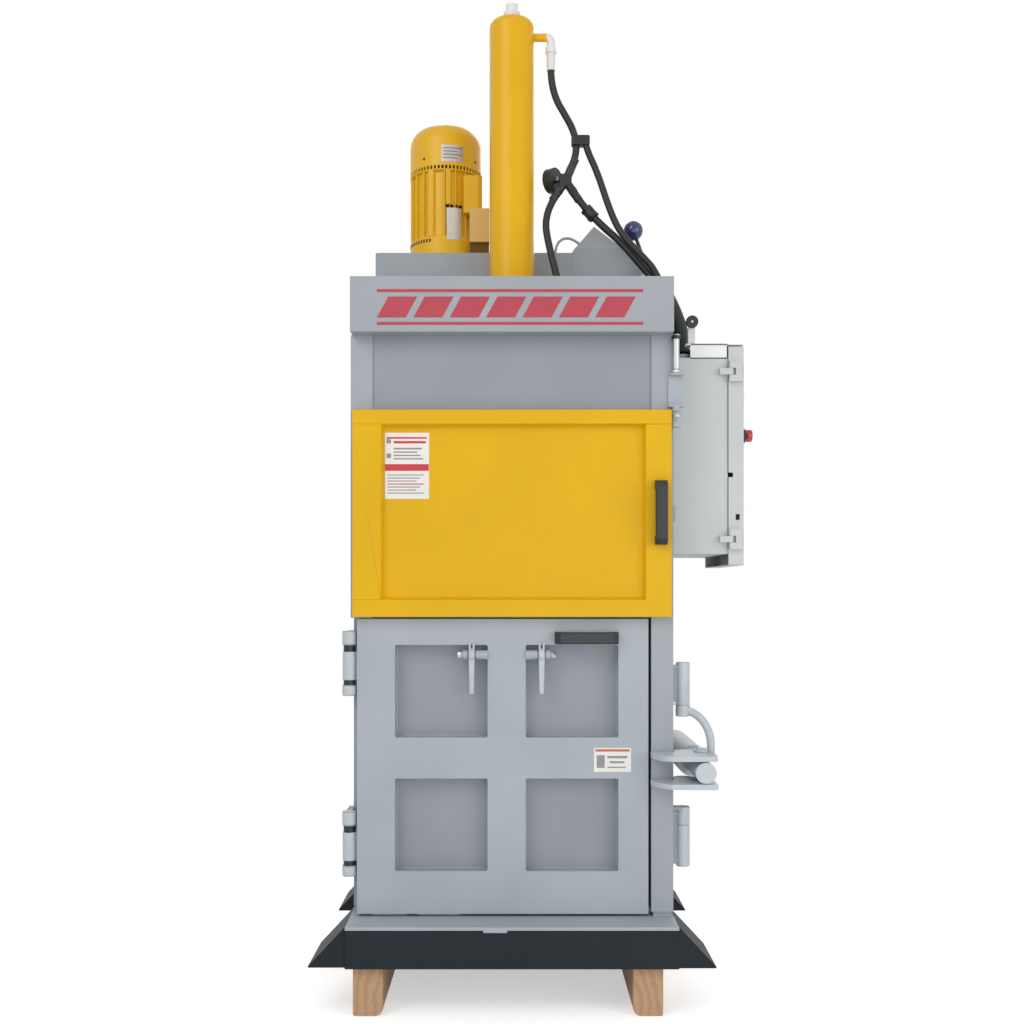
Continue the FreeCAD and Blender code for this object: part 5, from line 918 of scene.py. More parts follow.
# ---------------------------------------------------------------- doors
@dataclass
class Label:
    """A white vinyl plate with plain bands and bars, without words."""

    name: str
    left: float
    low: float
    width: float
    height: float
    front: float
    body: str
    bands: Sequence[Tuple[float, float, float, float, int]]

    def build(self) -> None:
        """Lay the plate and its bands; slots: 0 white, 1 red, 2 orange brown, 3 grey."""
        shape = new_shape()
        add_block(shape, (self.left, self.front - 0.6, self.low),
                  (self.left + self.width, self.front, self.low + self.height))
        for x, z, wide, high, slot in self.bands:
            add_block(shape, (self.left + x, self.front - 0.9, self.low + z),
                      (self.left + x + wide, self.front - 0.5, self.low + z + high), slot=slot)
        publish(self.name, shape, LABEL_WHITE, self.body,
                more=(LABEL_RED, LABEL_ORANGE, LABEL_GREY))


@dataclass
class BaleDoor:
    """The lower door with its recesses, handle, roller, hinges and strap levers."""

    pin_y: float = 4.0
    pin_z: float = 1051.0
    tail: float = 117.0
    lever_half: float = 9.0
    lever_head: float = 20.0
    lever_bore: float = 9.1
    ear_span: Pair = (12.0, 37.0)
    screw_places: Pair = (141.0, 305.0)
    recess_floor: float = 46.0
    recess_side: float = 278.0
    recess_lefts: Pair = (-351.0, 41.0)
    recess_lows: Pair = (402.0, 803.0)
    seam_y: float = 44.5
    seam_inset: float = 1.5
    seam_gap: float = 6.0
    levers: Tuple[Tuple[float, int], ...] = ((-73.0, -1), (41.0, 1))

    def build(self) -> None:
        """Add the small parts that the door carries."""
        for (wall_x, way), side in zip(self.levers, ("left", "right")):
            self.lever(wall_x + way * 48.0, f"strap_lever_{side}")
        self.lever_nuts()
        self.handle_screws()
        self.recess_seams()
        self.recess_painted_shade()
        Label("bale_door_label", 246.0, 700.0, 111.0, 72.0, 0.0, "bale_door",
              [(4.0, 61.0, 103.0, 7.0, 2), (8.0, 12.0, 24.0, 38.0, 3), (40.0, 41.0, 60.0, 7.0, 3),
               (47.0, 26.0, 44.0, 6.0, 3), (40.0, 12.0, 55.0, 4.0, 3)]).build()

    def lever(self, x: float, node_name: str) -> None:
        """Shape one strap lever: a bored head, twin ears above it and a slim tail below."""
        shape = new_shape()
        y, z = self.pin_y, self.pin_z
        half, head, bore = self.lever_half, self.lever_head, self.lever_bore
        ear_foot, ear_top = self.ear_span
        add_turned(shape, (x, y, z), RIGHT,
                   [(bore, -half), (head - 2.0, -half), (head, 2.0 - half), (head, half - 2.0),
                    (head - 2.0, half), (bore, half), (bore, -half)], 36)
        for low, high in ((-half, -3.0), (3.0, half)):
            add_block(shape, (x + low, y - 11.0, z + ear_foot), (x + high, y + 11.0, z + ear_top),
                      round_mm=2.0)
        tail = add_block(shape, (x - half, y - 12.0, z - self.tail), (x + half, y + 12.0, z - 11.0))
        for vert in tail:
            if vert.co.z < z - head:
                vert.co.x = x + (vert.co.x - x) * 0.72
                vert.co.y = y + (vert.co.y - y) * 0.5
        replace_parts(publish(node_name + "_forged", shape, LATCH_GREY, node_name, bevel_mm=2.0),
                    node_name)

    def lever_nuts(self) -> None:
        """Put a washer and a nut on the end of each strap lever's pin."""
        shape = new_shape()
        for wall_x, side in self.levers:
            seat = (wall_x + side * 80.0, self.pin_y, self.pin_z)
            add_fastener(shape, seat, Vector((side, 0, 0)), 17.0, Head.HEX, washer=False)
        publish("strap_lever_nuts", shape, ZINC, "bale_door")

    def handle_screws(self) -> None:
        """Put the two recessed screws in the handle's feet."""
        shape = new_shape()
        for x in self.screw_places:
            add_fastener(shape, (x, -40.0, 1102.0), TO_FRONT, 7.0, Head.BUTTON, washer=False)
        publish("bale_handle_screws", shape, BLACK_ABS, "bale_door")

    def recesses(self) -> List[Pair]:
        """The lower left corner of each recess."""
        return [(left, low) for left in self.recess_lefts for low in self.recess_lows]

    def recess_seams(self) -> None:
        """Run a thin weld along the four inner corners of each recess."""
        shape = new_shape()
        y, near, start = self.seam_y, self.seam_inset, self.seam_gap
        far, end = self.recess_side - near, self.recess_side - start
        for left, low in self.recesses():
            for z in (low + far, low + near):
                add_bead(shape, (left + start, y, z), (left + end, y, z), 4.0, 6.0)
            for x in (left + near, left + far):
                add_bead(shape, (x, y, low + start), (x, y, low + end), 4.0, 6.0)
        publish("recess_welds", shape, STEEL_GREY, "bale_door")

    def recess_painted_shade(self) -> None:
        """Lay a slightly darker grey on the floor of each recess as painted shade."""
        shape = new_shape()
        inset, floor = 0.5, self.recess_floor
        far = self.recess_side - inset
        for left, low in self.recesses():
            add_block(shape, (left + inset, floor - 0.4, low + inset),
                      (left + far, floor + 0.2, low + far))
        publish("recess_painted_shade", shape, PANEL_GREY_AND_RECESS_SHADE, "bale_door")


@dataclass
class FeedDoor:
    """The yellow loading door with its recess, handle and label."""

    screw_places: Pair = (1393.0, 1557.0)

    def build(self) -> None:
        """Lay the door's label and screws."""
        shape = new_shape()
        for z in self.screw_places:
            add_fastener(shape, (442.0, -72.0, z), TO_FRONT, 7.0, Head.BUTTON, washer=False)
        publish("feed_handle_screws", shape, BLACK_ABS, "feed_door")
        bands = [(5.0, 180.0, 120.0, 5.0, 1), (26.0, 166.0, 96.0, 7.0, 1),
                 (5.0, 166.0, 13.0, 13.0, 3),
                 (26.0, 148.0, 84.0, 5.0, 3), (26.0, 138.0, 70.0, 4.0, 3),
                 (5.0, 122.0, 13.0, 14.0, 3),
                 (26.0, 128.0, 80.0, 4.0, 3), (26.0, 118.0, 88.0, 4.0, 3),
                 (0.0, 84.0, 131.0, 20.0, 1)]
        bands += [(8.0, 70.0 - 9.0 * row, 108.0 - 11.0 * (row % 3), 3.0, 1 if row % 4 == 3 else 3)
                  for row in range(7)]
        Label("feed_door_label", -380.0, 1518.0, 132.0, 198.0, -10.0, "feed_door", bands).build()


@dataclass
class DoorLock:
    """The swinging yoke with its arch, tubes, pin and the strut behind it."""

    x: float = 518.0
    y: float = 40.0
    pin: Pair = (565.0, -8.0)
    plate: Pair = (745.0, 761.0)
    plate_right: float = 602.0
    plate_front: float = -112.0
    nose: Tuple[float, float, float] = (415.0, -4.0, 54.0)
    shaft: float = 27.0
    tube_foot: float = 897.5
    arch_bar: float = 24.0
    arch_end: Pair = (598.0, 8.0)
    arch_foot: float = 780.0
    corner: float = 18.0
    journal_spans: Tuple[Pair, ...] = ((864.5, 1018.0), (662.8, 679.2), (418.0, 589.0))
    sleeve_spans: Tuple[Pair, ...] = ((898.0, 1027.0), (410.0, 535.0), (537.0, 590.0))

    def yoke(self) -> None:
        """Shape the upper yoke plate with its collar and the bent bar that rises over it."""
        shape = new_shape()
        low, high = self.plate
        nose_x, nose_y, across = self.nose
        deep = nose_y - self.plate_front
        outline = [(nose_x + across * (1 - math.cos(turn)), nose_y - deep * math.sin(turn))
                   for turn in quarter(10)]
        for corner, first in (((self.plate_right, self.plate_front), -90.0),
                              ((self.plate_right, 52.0), 0.0)):
            x, y = corner[0] - self.corner, corner[1] + (self.corner if first else -self.corner)
            outline += [(x + self.corner * math.cos(turn), y + self.corner * math.sin(turn))
                        for turn in (math.radians(first + 15.0 * step) for step in range(7))]
        outline += [(self.x, 52.0), (488.0, self.y), (488.0, nose_y)]
        face = shape.faces.new([shape.verts.new((x, y, low)) for x, y in outline])
        grown = bmesh.ops.extrude_face_region(shape, geom=[face])["geom"]
        bmesh.ops.translate(shape, vec=(0, 0, high - low),
                            verts=[v for v in grown if isinstance(v, Vertex)])
        bmesh.ops.recalc_face_normals(shape, faces=shape.faces)
        bore, top = self.shaft / 2 + 0.1, self.tube_foot
        add_turned(shape, (self.x, self.y, 0.0), UP,
                   [(bore, top - 34.0), (20.0, top - 34.0), (22.0, top - 32.0), (22.0, top - 2.0),
                    (20.0, top), (bore, top), (bore, top - 34.0)], 40)
        run = Vector((self.arch_end[0] - self.x, self.arch_end[1] - self.y, 0.0))
        rise = top - 16.0 - self.arch_foot
        way = run.normalized()
        start = Vector((self.x, self.y, self.arch_foot))
        path = [start + run * math.sin(turn) + Vector((0, 0, rise * math.cos(turn)))
                for turn in quarter(18)]
        path[0] = path[0] + way * 15.0
        add_bar(shape, path + [Vector((*self.arch_end, high - 4.0))], way.cross(UP), self.arch_bar)
        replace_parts(publish("lock_yoke_bent", shape, LATCH_GREY, "lock_yoke", bevel_mm=2.4),
                    "lock_yoke")

    def journals(self) -> None:
        """Show the lock's shaft only in its tubes and in the lower plate."""
        shape = new_shape()
        for low, high in self.journal_spans:
            add_round(shape, (self.x, self.y, low), UP, high - low, self.shaft, sides=40)
        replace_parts(publish("lock_journals", shape, LATCH_GREY, "lock_yoke"), "lock_shaft")

    def build(self) -> None:
        """Shape the lock and add its pin's cap, tube sleeves and welds."""
        self.yoke()
        self.journals()
        shape = new_shape()
        add_turned(shape, (self.pin[0], self.pin[1], 769.0), UP,
                   [(0.0, 5.0), (13.0, 5.0), (15.0, 3.0), (15.0, -0.4), (0.0, -0.4)])
        publish("lock_pin_cap", shape, LATCH_GREY, "lock_yoke")
        shape = new_shape()
        for low, high in self.sleeve_spans:
            ring = [(19.0, low), (19.6, low), (20.7, low + 3.0), (20.7, high - 3.0), (19.6, high),
                    (19.0, high), (19.0, low)]
            add_turned(shape, (self.x, self.y, 0.0), UP, ring, 40)
        publish("lock_tube_sleeves", shape, LATCH_GREY, "frame")
        shape = new_shape()
        for z in (906.0, 1018.0):
            add_bead(shape, (486.0, self.y - 10.5, z - 5.0), (500.0, self.y - 10.5, z - 5.0), 5.0)
        for z in (430.0, 570.0):
            add_bead(shape, (485.0, self.y - 10.5, z), (500.0, self.y - 10.5, z), 5.0)
        publish("lock_tube_welds", shape, LATCH_GREY, "frame")


# ---------------------------------------------------------------- ram and power pack
@dataclass
class Ram:
    """The upright cylinder with its flange bolts, plug, port, rod and platen."""

    y: float = 325.0
    foot: float = 2035.0
    length: float = 1065.0
    radius: float = 73.0
    round_off: float = 26.0
    bore: float = 60.0
    gland: float = 40.05
    flange_radius: float = 103.0
    flange_height: float = 30.0
    bolt_circle: float = 176.0
    bolts: int = 8
    port: Triple = (127.0, 3047.0, 27.0)
    bend: float = 14.0
    bend_drop: float = 34.5

    def build(self) -> None:
        """Add the smooth barrel, the port's pipe and the flange's bolts."""
        self.barrel()
        self.elbow()
        shape = new_shape()
        for number in range(self.bolts):
            angle = 2 * math.pi * (number + 0.5) / self.bolts
            seat = (self.bolt_circle / 2 * math.cos(angle),
                    self.y + self.bolt_circle / 2 * math.sin(angle),
                    self.foot + self.flange_height)
            add_fastener(shape, seat, UP, 12.0, Head.CAP)
        publish("flange_bolts", shape, ZINC, "frame")

    def elbow(self) -> None:
        """Run the port's pipe out of the barrel and bend its white end down to the hose."""
        x, z, width = self.port
        side = TO_BACK
        pipe, bend = new_shape(), new_shape()
        start = Vector((x - self.bend, self.y, z))
        add_bar(pipe, [Vector((self.radius - 0.5, self.y, z)), start], side, width - 1.0, 32)
        path = [start + self.bend * Vector((math.sin(turn), 0.0, math.cos(turn) - 1.0))
                for turn in quarter(12)]
        add_bar(bend, path + [Vector((x, self.y, z - self.bend_drop))], side, width, 32)
        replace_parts(publish("port_pipe_round", pipe, MACHINE_YELLOW, "frame"), "port_elbow")
        publish("port_bend", bend, WHITE_PTFE, "frame", bevel_mm=0.8)

    def barrel(self) -> None:
        """Turn the barrel with its bore, flange, weld fillet and round shoulder."""
        flange, gland_top = self.flange_height, 3 * self.flange_height
        ceiling = self.length - self.round_off
        profile = [(0.0, ceiling), (self.bore, ceiling), (self.bore, gland_top),
                   (self.gland, gland_top),
                   (self.gland, 0.0), (self.flange_radius, 0.0), (self.flange_radius, flange - 2.0),
                   (self.flange_radius - 0.6, flange - 0.6), (self.flange_radius - 2.0, flange),
                   (self.radius + 7.0, flange), (self.radius + 2.4, flange + 2.0),
                   (self.radius, flange + 7.0), (self.radius, ceiling)]
        profile += arc(self.round_off, profile[-1])
        shape = new_shape()
        add_turned(shape, (0.0, self.y, self.foot), UP, profile + [(0.0, self.length)], 72)
        piece = publish("cylinder_barrel_turned", shape, MACHINE_YELLOW, "frame")
        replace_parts(piece, "cylinder_barrel")


@dataclass
class PowerPack:
    """Oil tank, gabled cover, motor, manifold and the lever valve."""

    motor: Pair = (-227.0, 562.0)
    tank_top: float = 2375.0
    foot_top: float = 2437.0
    body_top: float = 2659.0
    cowl_height: float = 168.0
    cowl_round: float = 66.0
    cowl_wall: float = 7.0
    slot_low: float = 2.0
    slot_high: float = 14.0
    slots: int = 60
    fins: int = 20
    radius: float = 123.0
    pads: Tuple[Pair, ...] = ((-112.0, 2436.0), (-84.0, 2541.0))
    plate_top: float = 2529.0
    box_low: float = 2510.0
    plates: Tuple[Tuple[str, float, float, float, float, int], ...] = (
        ("motor_nameplate", -219.0, -170.0, 2423.0, 2529.0, 0),
        ("cowl_plate", -237.0, -162.0, 2684.0, 2740.0, 4))
    ball: Triple = (401.1, 385.0, 2435.6)
    ball_diameter: float = 66.0

    def build(self) -> None:
        """Add the motor, its cowl, bolts and plates, the manifold and the lever's ball."""
        self.motor_body()
        self.cowl()
        self.manifold()
        self.lever_ball()
        self.motor_bolts()
        for plate in self.plates:
            self.curved_plate(*plate)

    def cowl(self) -> None:
        """Turn the domed fan cowl with the row of vents at its foot."""
        x, y = self.motor
        low = self.body_top
        groove = self.radius - 4.5
        rise = self.cowl_height - self.cowl_round
        inside = self.radius - self.cowl_wall
        inner = [(inside, rise)] + arc(self.cowl_round - self.cowl_wall, (inside, rise))
        profile = [(0.0, inner[-1][1])] + inner[::-1] + [(inside, 0.0), (self.radius, 0.0)]
        profile += [(self.radius, self.slot_low), (groove, self.slot_low), (groove, self.slot_high),
                    (self.radius, self.slot_high), (self.radius, rise)]
        profile += arc(self.cowl_round, (self.radius, rise)) + [(0.0, self.cowl_height)]
        shape = new_shape()
        add_turned(shape, (x, y, low), UP, profile, 80)
        # The groove's floor between the vent bars is coloured near-black: painted shade in the
        # vents.
        for face in shape.faces:
            middle = face.calc_center_median()
            reach = math.hypot(middle.x - x, middle.y - y)
            if abs(reach - groove) < 0.6 and self.slot_low < middle.z - low < self.slot_high:
                face.material_index = 1
        for number in range(self.slots):
            self.add_turned_block(shape, 360.0 * number / self.slots, (groove - 1.0, self.radius),
                                  5.4, (low + self.slot_low - 0.4, low + self.slot_high + 0.4))
        piece = publish("motor_cowl_turned", shape, MOTOR_YELLOW, "frame", more=(VENT_SHADE_BLACK,))
        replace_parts(piece, "motor_cowl")

    def add_turned_block(self, shape: Shape, degrees: float, reach: Pair, width: float,
                         heights: Pair, slot: int = 0) -> None:
        """Add a block that points out from the motor's axis.

        Args:
            shape: The bmesh to add to.
            degrees: Its direction, counted from the right.
            reach: Its inner and outer distance from the axis.
            width: Its width across.
            heights: Its lower and upper end.
            slot: The material slot of its faces.
        """
        made = add_block(shape, (reach[0], -width / 2, heights[0]),
                         (reach[1], width / 2, heights[1]), slot)
        turn = Matrix.Translation((*self.motor, 0.0)) @ Matrix.Rotation(math.radians(degrees), 4,
                                                                        "Z")
        bmesh.ops.transform(shape, matrix=turn, verts=made)

    def motor_body(self) -> None:
        """Cast the motor: a vented bell foot, a finned body with two pads and a terminal box."""
        x, y = self.motor
        foot, top, outer = self.foot_top, self.body_top, self.radius
        shape = new_shape()
        profile = [(0.0, 2383.0), (15.1, 2383.0), (15.1, foot), (64.0, foot), (64.0, top - 40.0),
                   (15.1, top - 40.0), (15.1, top), (outer, top), (outer, top - 3.0),
                   (outer - 10.0, top - 5.0),
                   (outer - 10.0, foot + 4.0), (outer - 8.0, foot + 1.0), (outer - 2.0, foot),
                   (outer, foot - 2.0), (outer, self.tank_top), (0.0, self.tank_top)]
        add_turned(shape, (x, y, 0.0), UP, profile, 80)
        for number in range(self.fins):
            self.add_turned_block(shape, 360.0 * number / self.fins, (outer - 12.0, outer - 1.0),
                                  5.0, (foot - 1.0, top - 4.0))
        for angle, low in self.pads:
            self.add_turned_block(shape, angle, (outer - 12.0, outer + 1.0), 17.0, (low, top - 2.0))
        # This row and the next are near-black blocks for the vent slots: painted shade in their
        # openings.
        for number in range(12):
            self.add_turned_block(shape, 186.0 + 5.5 * number, (outer - 3.0, outer + 0.4), 7.0,
                                  (foot - 21.0, foot - 9.0), 1)
        for number in range(4):
            self.add_turned_block(shape, 275.0 + 7.2 * number, (outer - 12.0, outer + 0.4), 9.0,
                                  (self.plate_top + 4.0, self.plate_top + 11.0), 1)
        right, front = x + outer + 4.0, y - outer - 6.0
        box = add_block(shape, (right - 62.0, front, self.box_low),
                        (right, front + 112.0, self.box_low + 126.0))
        corner = [e for e in once(e for v in box for e in v.link_edges)
                  if all(v.co.x > right - 1.0 and v.co.y < front + 1.0 for v in e.verts)]
        bmesh.ops.bevel(shape, geom=corner, offset=13.0, segments=1, profile=0.5, affect="EDGES",
                        material=-1)
        piece = publish("motor_body_cast", shape, MOTOR_YELLOW, "frame", bevel_mm=1.2,
                        more=(VENT_SHADE_BLACK,))
        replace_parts(piece, "motor_body")

    def manifold(self) -> None:
        """Hang the manifold block beside the motor's foot, on a set-back stool coloured dark brown
        as painted shade under the block.
        """
        shape = new_shape()
        add_block(shape, (-142.0, 432.0, 2412.0), (-76.0, 466.0, 2525.0))
        # The stool is coloured dark brown: painted shade under the manifold block.
        add_block(shape, (-141.0, 444.0, self.tank_top), (-77.0, 465.0, 2413.0), slot=1)
        piece = publish("manifold_block_milled", shape, MANIFOLD_TAN, "frame", bevel_mm=1.6,
                        more=(STOOL_PAINTED_SHADE,))
        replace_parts(piece, "manifold_block")

    def lever_ball(self) -> None:
        """Make the valve lever's round ball."""
        shape = new_shape()
        bmesh.ops.create_uvsphere(shape, u_segments=48, v_segments=28,
                                  radius=self.ball_diameter / 2,
                                  matrix=Matrix.Translation(self.ball))
        piece = publish("valve_ball_round", shape, NAVY_PHENOLIC, "valve_lever")
        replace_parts(piece, "valve_ball")

    def motor_bolts(self) -> None:
        """Put the dark screws that hold the cowl."""
        shape = new_shape()
        x, y = self.motor
        for number in range(4):
            angle = math.radians(-34.0) + number * math.pi / 2
            way = Vector((math.cos(angle), math.sin(angle), 0.0))
            seat = Vector((x, y, self.body_top + 40.0)) + way * self.radius
            add_fastener(shape, tuple(seat), way, 7.0, Head.BUTTON, washer=False)
        publish("motor_bolts", shape, BLACK_OXIDE, "frame")

    def curved_plate(self, name: str, left: float, right: float, low: float, high: float,
                     rows: int) -> None:
        """Wrap a thin nameplate with plain lines round the motor.

        Args:
            name: The piece's name.
            left: Its left edge.
            right: Its right edge.
            low: Its lower edge.
            high: Its upper edge.
            rows: The number of its plain printed lines.
        """
        shape = new_shape()
        x, y = self.motor
        radius = self.radius + 0.3
        wide = right - left
        start = math.asin((left - x) / radius)
        reach = math.asin((right - x) / radius) - start

        def wrap(u0: float, u1: float, z0: float, z1: float, lift: float, thickness: float,
                 slot: int) -> None:
            grid = bmesh.ops.create_grid(shape, x_segments=14, y_segments=1, size=0.5)["verts"]
            faces = once(f for v in grid for f in v.link_faces)
            for face in faces:
                face.material_index = slot
            for vert in grid:
                u = u0 + (vert.co.x + 0.5) * (u1 - u0)
                z = z0 + (vert.co.y + 0.5) * (z1 - z0)
                angle = start + reach * u / wide
                vert.co = Vector((x + (radius + lift) * math.sin(angle),
                                  y - (radius + lift) * math.cos(angle), z))
            edges = once(e for f in faces for e in f.edges)
            made = bmesh.ops.solidify(shape, geom=faces + edges + list(grid),
                                      thickness=thickness)
            for each in made["geom"]:
                if isinstance(each, bmesh.types.BMFace):
                    each.material_index = slot

        wrap(0.0, wide, low, high, 0.6, 0.6, 0)
        for row in range(rows):
            z = high - 9.0 - row * (high - low - 12.0) / rows
            wrap(4.0, wide * (0.92 - 0.22 * (row % 2)), z - 2.5, z, 0.85, 0.3, 1)
        bmesh.ops.recalc_face_normals(shape, faces=shape.faces)
        publish(name, shape, PLATE_METAL, "frame", more=(LABEL_GREY,))


# ---------------------------------------------------------------- cabinet and switches
@dataclass
class Cabinet:
    """The electrical cabinet with its lid, roof, stop button and lamp."""

    stop: Triple = (736.5, 200.0, 1733.0)
    stop_travel: float = 4.5
    lamp: Triple = (714.5, 200.0, 1847.0)
    lamp_size: Pair = (12.0, 20.0)
    # The strip is a white sheet of painted light in the gap; the next pair are black lines of
    # painted shadow at its edges.
    strip: Tuple[Triple, Triple] = ((551.0, 110.2, 1962.8), (664.0, 111.2, 2002.2))
    edge_shadows: Tuple[Tuple[Triple, Triple], ...] = (((551.0, 103.4, 2001.8), (664.0, 104.2, 2005.0)),
                                                ((551.0, 109.2, 1960.0), (664.0, 110.3, 1963.4)))
    key_slot: Tuple[Triple, Triple] = ((690.0, 103.4, 1462.0), (702.0, 104.2, 1480.0))

    def build(self) -> None:
        """Add the cabinet's buttons, key slot and roof strip."""
        self.buttons()
        self.slot_plate()
        self.roof_front()

    def buttons(self) -> None:
        """Turn the stop button's round head on its stem, and the pilot lamp's dome."""
        out = RIGHT
        x, y, z = self.stop
        head, dome = new_shape(), new_shape()
        add_turned(head, (x + self.stop_travel, y, z), out,
                   [(0.0, -34.0), (7.9, -34.0), (7.9, 0.15), (19.2, 0.15), (20.0, 1.0),
                    (20.0, 11.5), (19.0, 14.6), (16.4, 16.8), (12.0, 17.8), (0.0, 18.0)], 40)
        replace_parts(publish("estop_button_turned", head, RED_PLASTIC, "estop_button"),
                    "estop_button")
        radius, rise = self.lamp_size
        foot = (radius, rise * 0.35)
        add_turned(dome, self.lamp, out, [(0.0, 0.0), (radius, 0.0), foot]
                   + [(radius * math.cos(turn), foot[1] + rise * 0.65 * math.sin(turn))
                      for turn in (math.pi / 16 * step for step in range(1, 8))] + [(0.0, rise)],
                      36)
        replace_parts(publish("pilot_lamp_dome", dome, LAMP_WHITE, "cabinet_lid"), "pilot_lamp")

    def roof_front(self) -> None:
        """Close the low gap under the roof with a white strip of painted light, edged by thin black
        lines of painted shadow.
        """
        shape = new_shape()
        add_block(shape, *self.strip)
        publish("roof_gap_painted_light", shape, ROOF_PAINTED_LIGHT, "frame")
        shape = new_shape()
        for edge_shadow in self.edge_shadows:
            add_block(shape, *edge_shadow)
        publish("roof_edge_painted_shadow", shape, HOSE_RUBBER_AND_SHADOW_BLACK, "frame")

    def slot_plate(self) -> None:
        """Show the key slot on the lid's edge as a near-black block: painted shade in the slot."""
        shape = new_shape()
        add_block(shape, *self.key_slot)
        publish("lid_key_slot", shape, VENT_SHADE_BLACK, "cabinet_lid")


@dataclass
class Switches:
    """The bracket with its limit switch and plunger, and the roller switch."""

    plunger: Pair = (490.0, -15.0)
    nut_heights: Triple = (1784.0, 1762.0, 1895.0)
    cap_height: float = 1996.0

    def build(self) -> None:
        """Add the plunger's nuts and cap."""
        shape = new_shape()
        for z in self.nut_heights:
            add_round(shape, (*self.plunger, z), UP, 7.0, 22.0, sides=6)
        publish("switch_nuts", shape, ZINC, "frame")
        shape = new_shape()
        add_turned(shape, (*self.plunger, self.cap_height), UP,
                   [(0.0, 12.6), (9.0, 12.6), (13.2, 9.0), (13.2, -1.0), (0.0, -1.0)])
        publish("limit_switch_cap", shape, BLACK_ABS, "frame")


# ---------------------------------------------------------------- hoses
@dataclass
class Hydraulics:
    """The hoses, the cable, the sleeve into the cabinet, the tee and its gauge."""

    tee: Triple = (175.0, 325.0, 2580.0)
    seat_reach: float = 32.0
    hose_width: float = 23.0
    branch_width: float = 24.0
    cable_width: float = 22.0
    crimp: float = 4.0
    vent_y: float = 480.0
    vent_width: float = 9.0
    gauge_turn: float = 125.0
    gauge_face: float = 65.0
    gauge_rise: float = 10.0
    dial_radius: float = 34.4
    upper: Tuple[Triple, ...] = ((127.0, 325.0, 2943.0), (128.0, 325.0, 2905.0),
                                 (143.0, 322.0, 2845.0),
                                 (171.0, 318.0, 2795.0), (198.0, 317.0, 2747.0),
                                 (211.0, 319.0, 2697.0), (205.0, 324.0, 2648.0))
    lower: Tuple[Triple, ...] = ((128.0, 319.0, 2510.0), (108.0, 305.0, 2445.0),
                                 (114.0, 289.0, 2380.0),
                                 (153.0, 268.0, 2220.0), (157.0, 266.0, 2150.0),
                                 (157.0, 266.0, 2070.0))
    branch: Tuple[Triple, ...] = ((225.0, 322.0, 2506.0), (283.0, 309.0, 2437.5),
                                  (352.0, 286.0, 2369.5),
                                  (400.0, 270.0, 2308.0), (444.0, 260.0, 2254.0),
                                  (481.5, 252.0, 2204.0))
    cable: Tuple[Triple, ...] = ((236.0, 316.0, 2714.5), (243.0, 315.0, 2678.5),
                                 (277.0, 306.0, 2602.5),
                                 (316.0, 282.0, 2469.5), (350.0, 258.0, 2387.0),
                                 (425.0, 238.0, 2301.5),
                                 (455.0, 232.0, 2266.0), (480.5, 228.0, 2206.0))

    def build(self) -> None:
        """Make the hoses, their fittings and the gauge's dial."""
        upper = (*self.upper, self.seat(self.upper[-1]))
        lower = (self.seat(self.lower[0]), *self.lower)
        branch = (self.seat(self.branch[0]), *self.branch)
        for name, route, width in (("hose_upper", upper, self.hose_width),
                                   ("hose_lower", lower, self.hose_width),
                                   ("hose_branch", branch, self.branch_width),
                                   ("cable_branch", self.cable, self.cable_width)):
            self.hose(name, route, width)
        thin, thick = self.hose_width + self.crimp, self.branch_width + self.crimp
        self.ferrules(((upper[-1], upper[-2], thin), (lower[0], lower[1], thin),
                       (branch[0], branch[1], thick), (lower[-1], lower[-2], thin)))
        self.cuff()
        self.vent_line()
        self.dial()

    def seat(self, toward: Triple) -> Triple:
        """The place in the tee's slanted outlet where a hose that comes from a place ends."""
        centre = Vector(self.tee)
        return tuple(centre + (Vector(toward) - centre).normalized() * self.seat_reach)

    def hose(self, node_name: str, points: Sequence[Triple], width: float) -> None:
        """Run one smooth hose along its route in place of its CAD solid.

        Args:
            node_name: The CAD node that it replaces.
            points: Its route in the machine's millimetres.
            width: Its diameter.
        """
        curve = bpy.data.curves.new(node_name + "_line", "CURVE")
        curve.dimensions = "3D"
        curve.bevel_depth = 1.0
        curve.bevel_resolution = 6
        curve.use_fill_caps = True
        line = curve.splines.new("NURBS")
        line.points.add(len(points) - 1)
        for point, place in zip(line.points, points):
            point.co = (*spot(*place), 1.0)
            point.radius = width / 2 / MM_PER_M
        line.order_u = 3
        line.use_endpoint_u = True
        line.resolution_u = 12
        curve.materials.append(HOSE_RUBBER_AND_SHADOW_BLACK.material())
        piece = bpy.data.objects.new(node_name + "_line", curve)
        bpy.context.scene.collection.objects.link(piece)
        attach(piece, "frame")
        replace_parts(piece, node_name)
        tuple(spot(*points[0]))
        curve_length(curve)
        LOG.info("%s_line: %d points", node_name, len(points))

    def ferrules(self, ends: Sequence[Tuple[Triple, Triple, float]]) -> None:
        """Crimp a turned ferrule and a nut on each hose end.

        Args:
            ends: Each end's place, the route's next place and the ferrule's diameter.
        """
        shape = new_shape()
        for here, next_point, width in ends:
            way = (Vector(next_point) - Vector(here)).normalized()
            start = Vector(here) + way * 4.0
            add_round(shape, tuple(start), way, 12.0, width + 4.0, sides=6)
            wall = width / 2
            profile = [(wall - 2.5, 11.0), (wall, 12.0), (wall, 22.0), (wall - 1.2, 23.0),
                       (wall - 1.2, 26.0),
                       (wall, 27.0), (wall, 42.0), (wall - 3.0, 44.0), (wall - 2.5, 11.0)]
            add_turned(shape, tuple(start), way, profile, sides=28)
        publish("hose_ferrules", shape, BLACK_OXIDE, "frame")

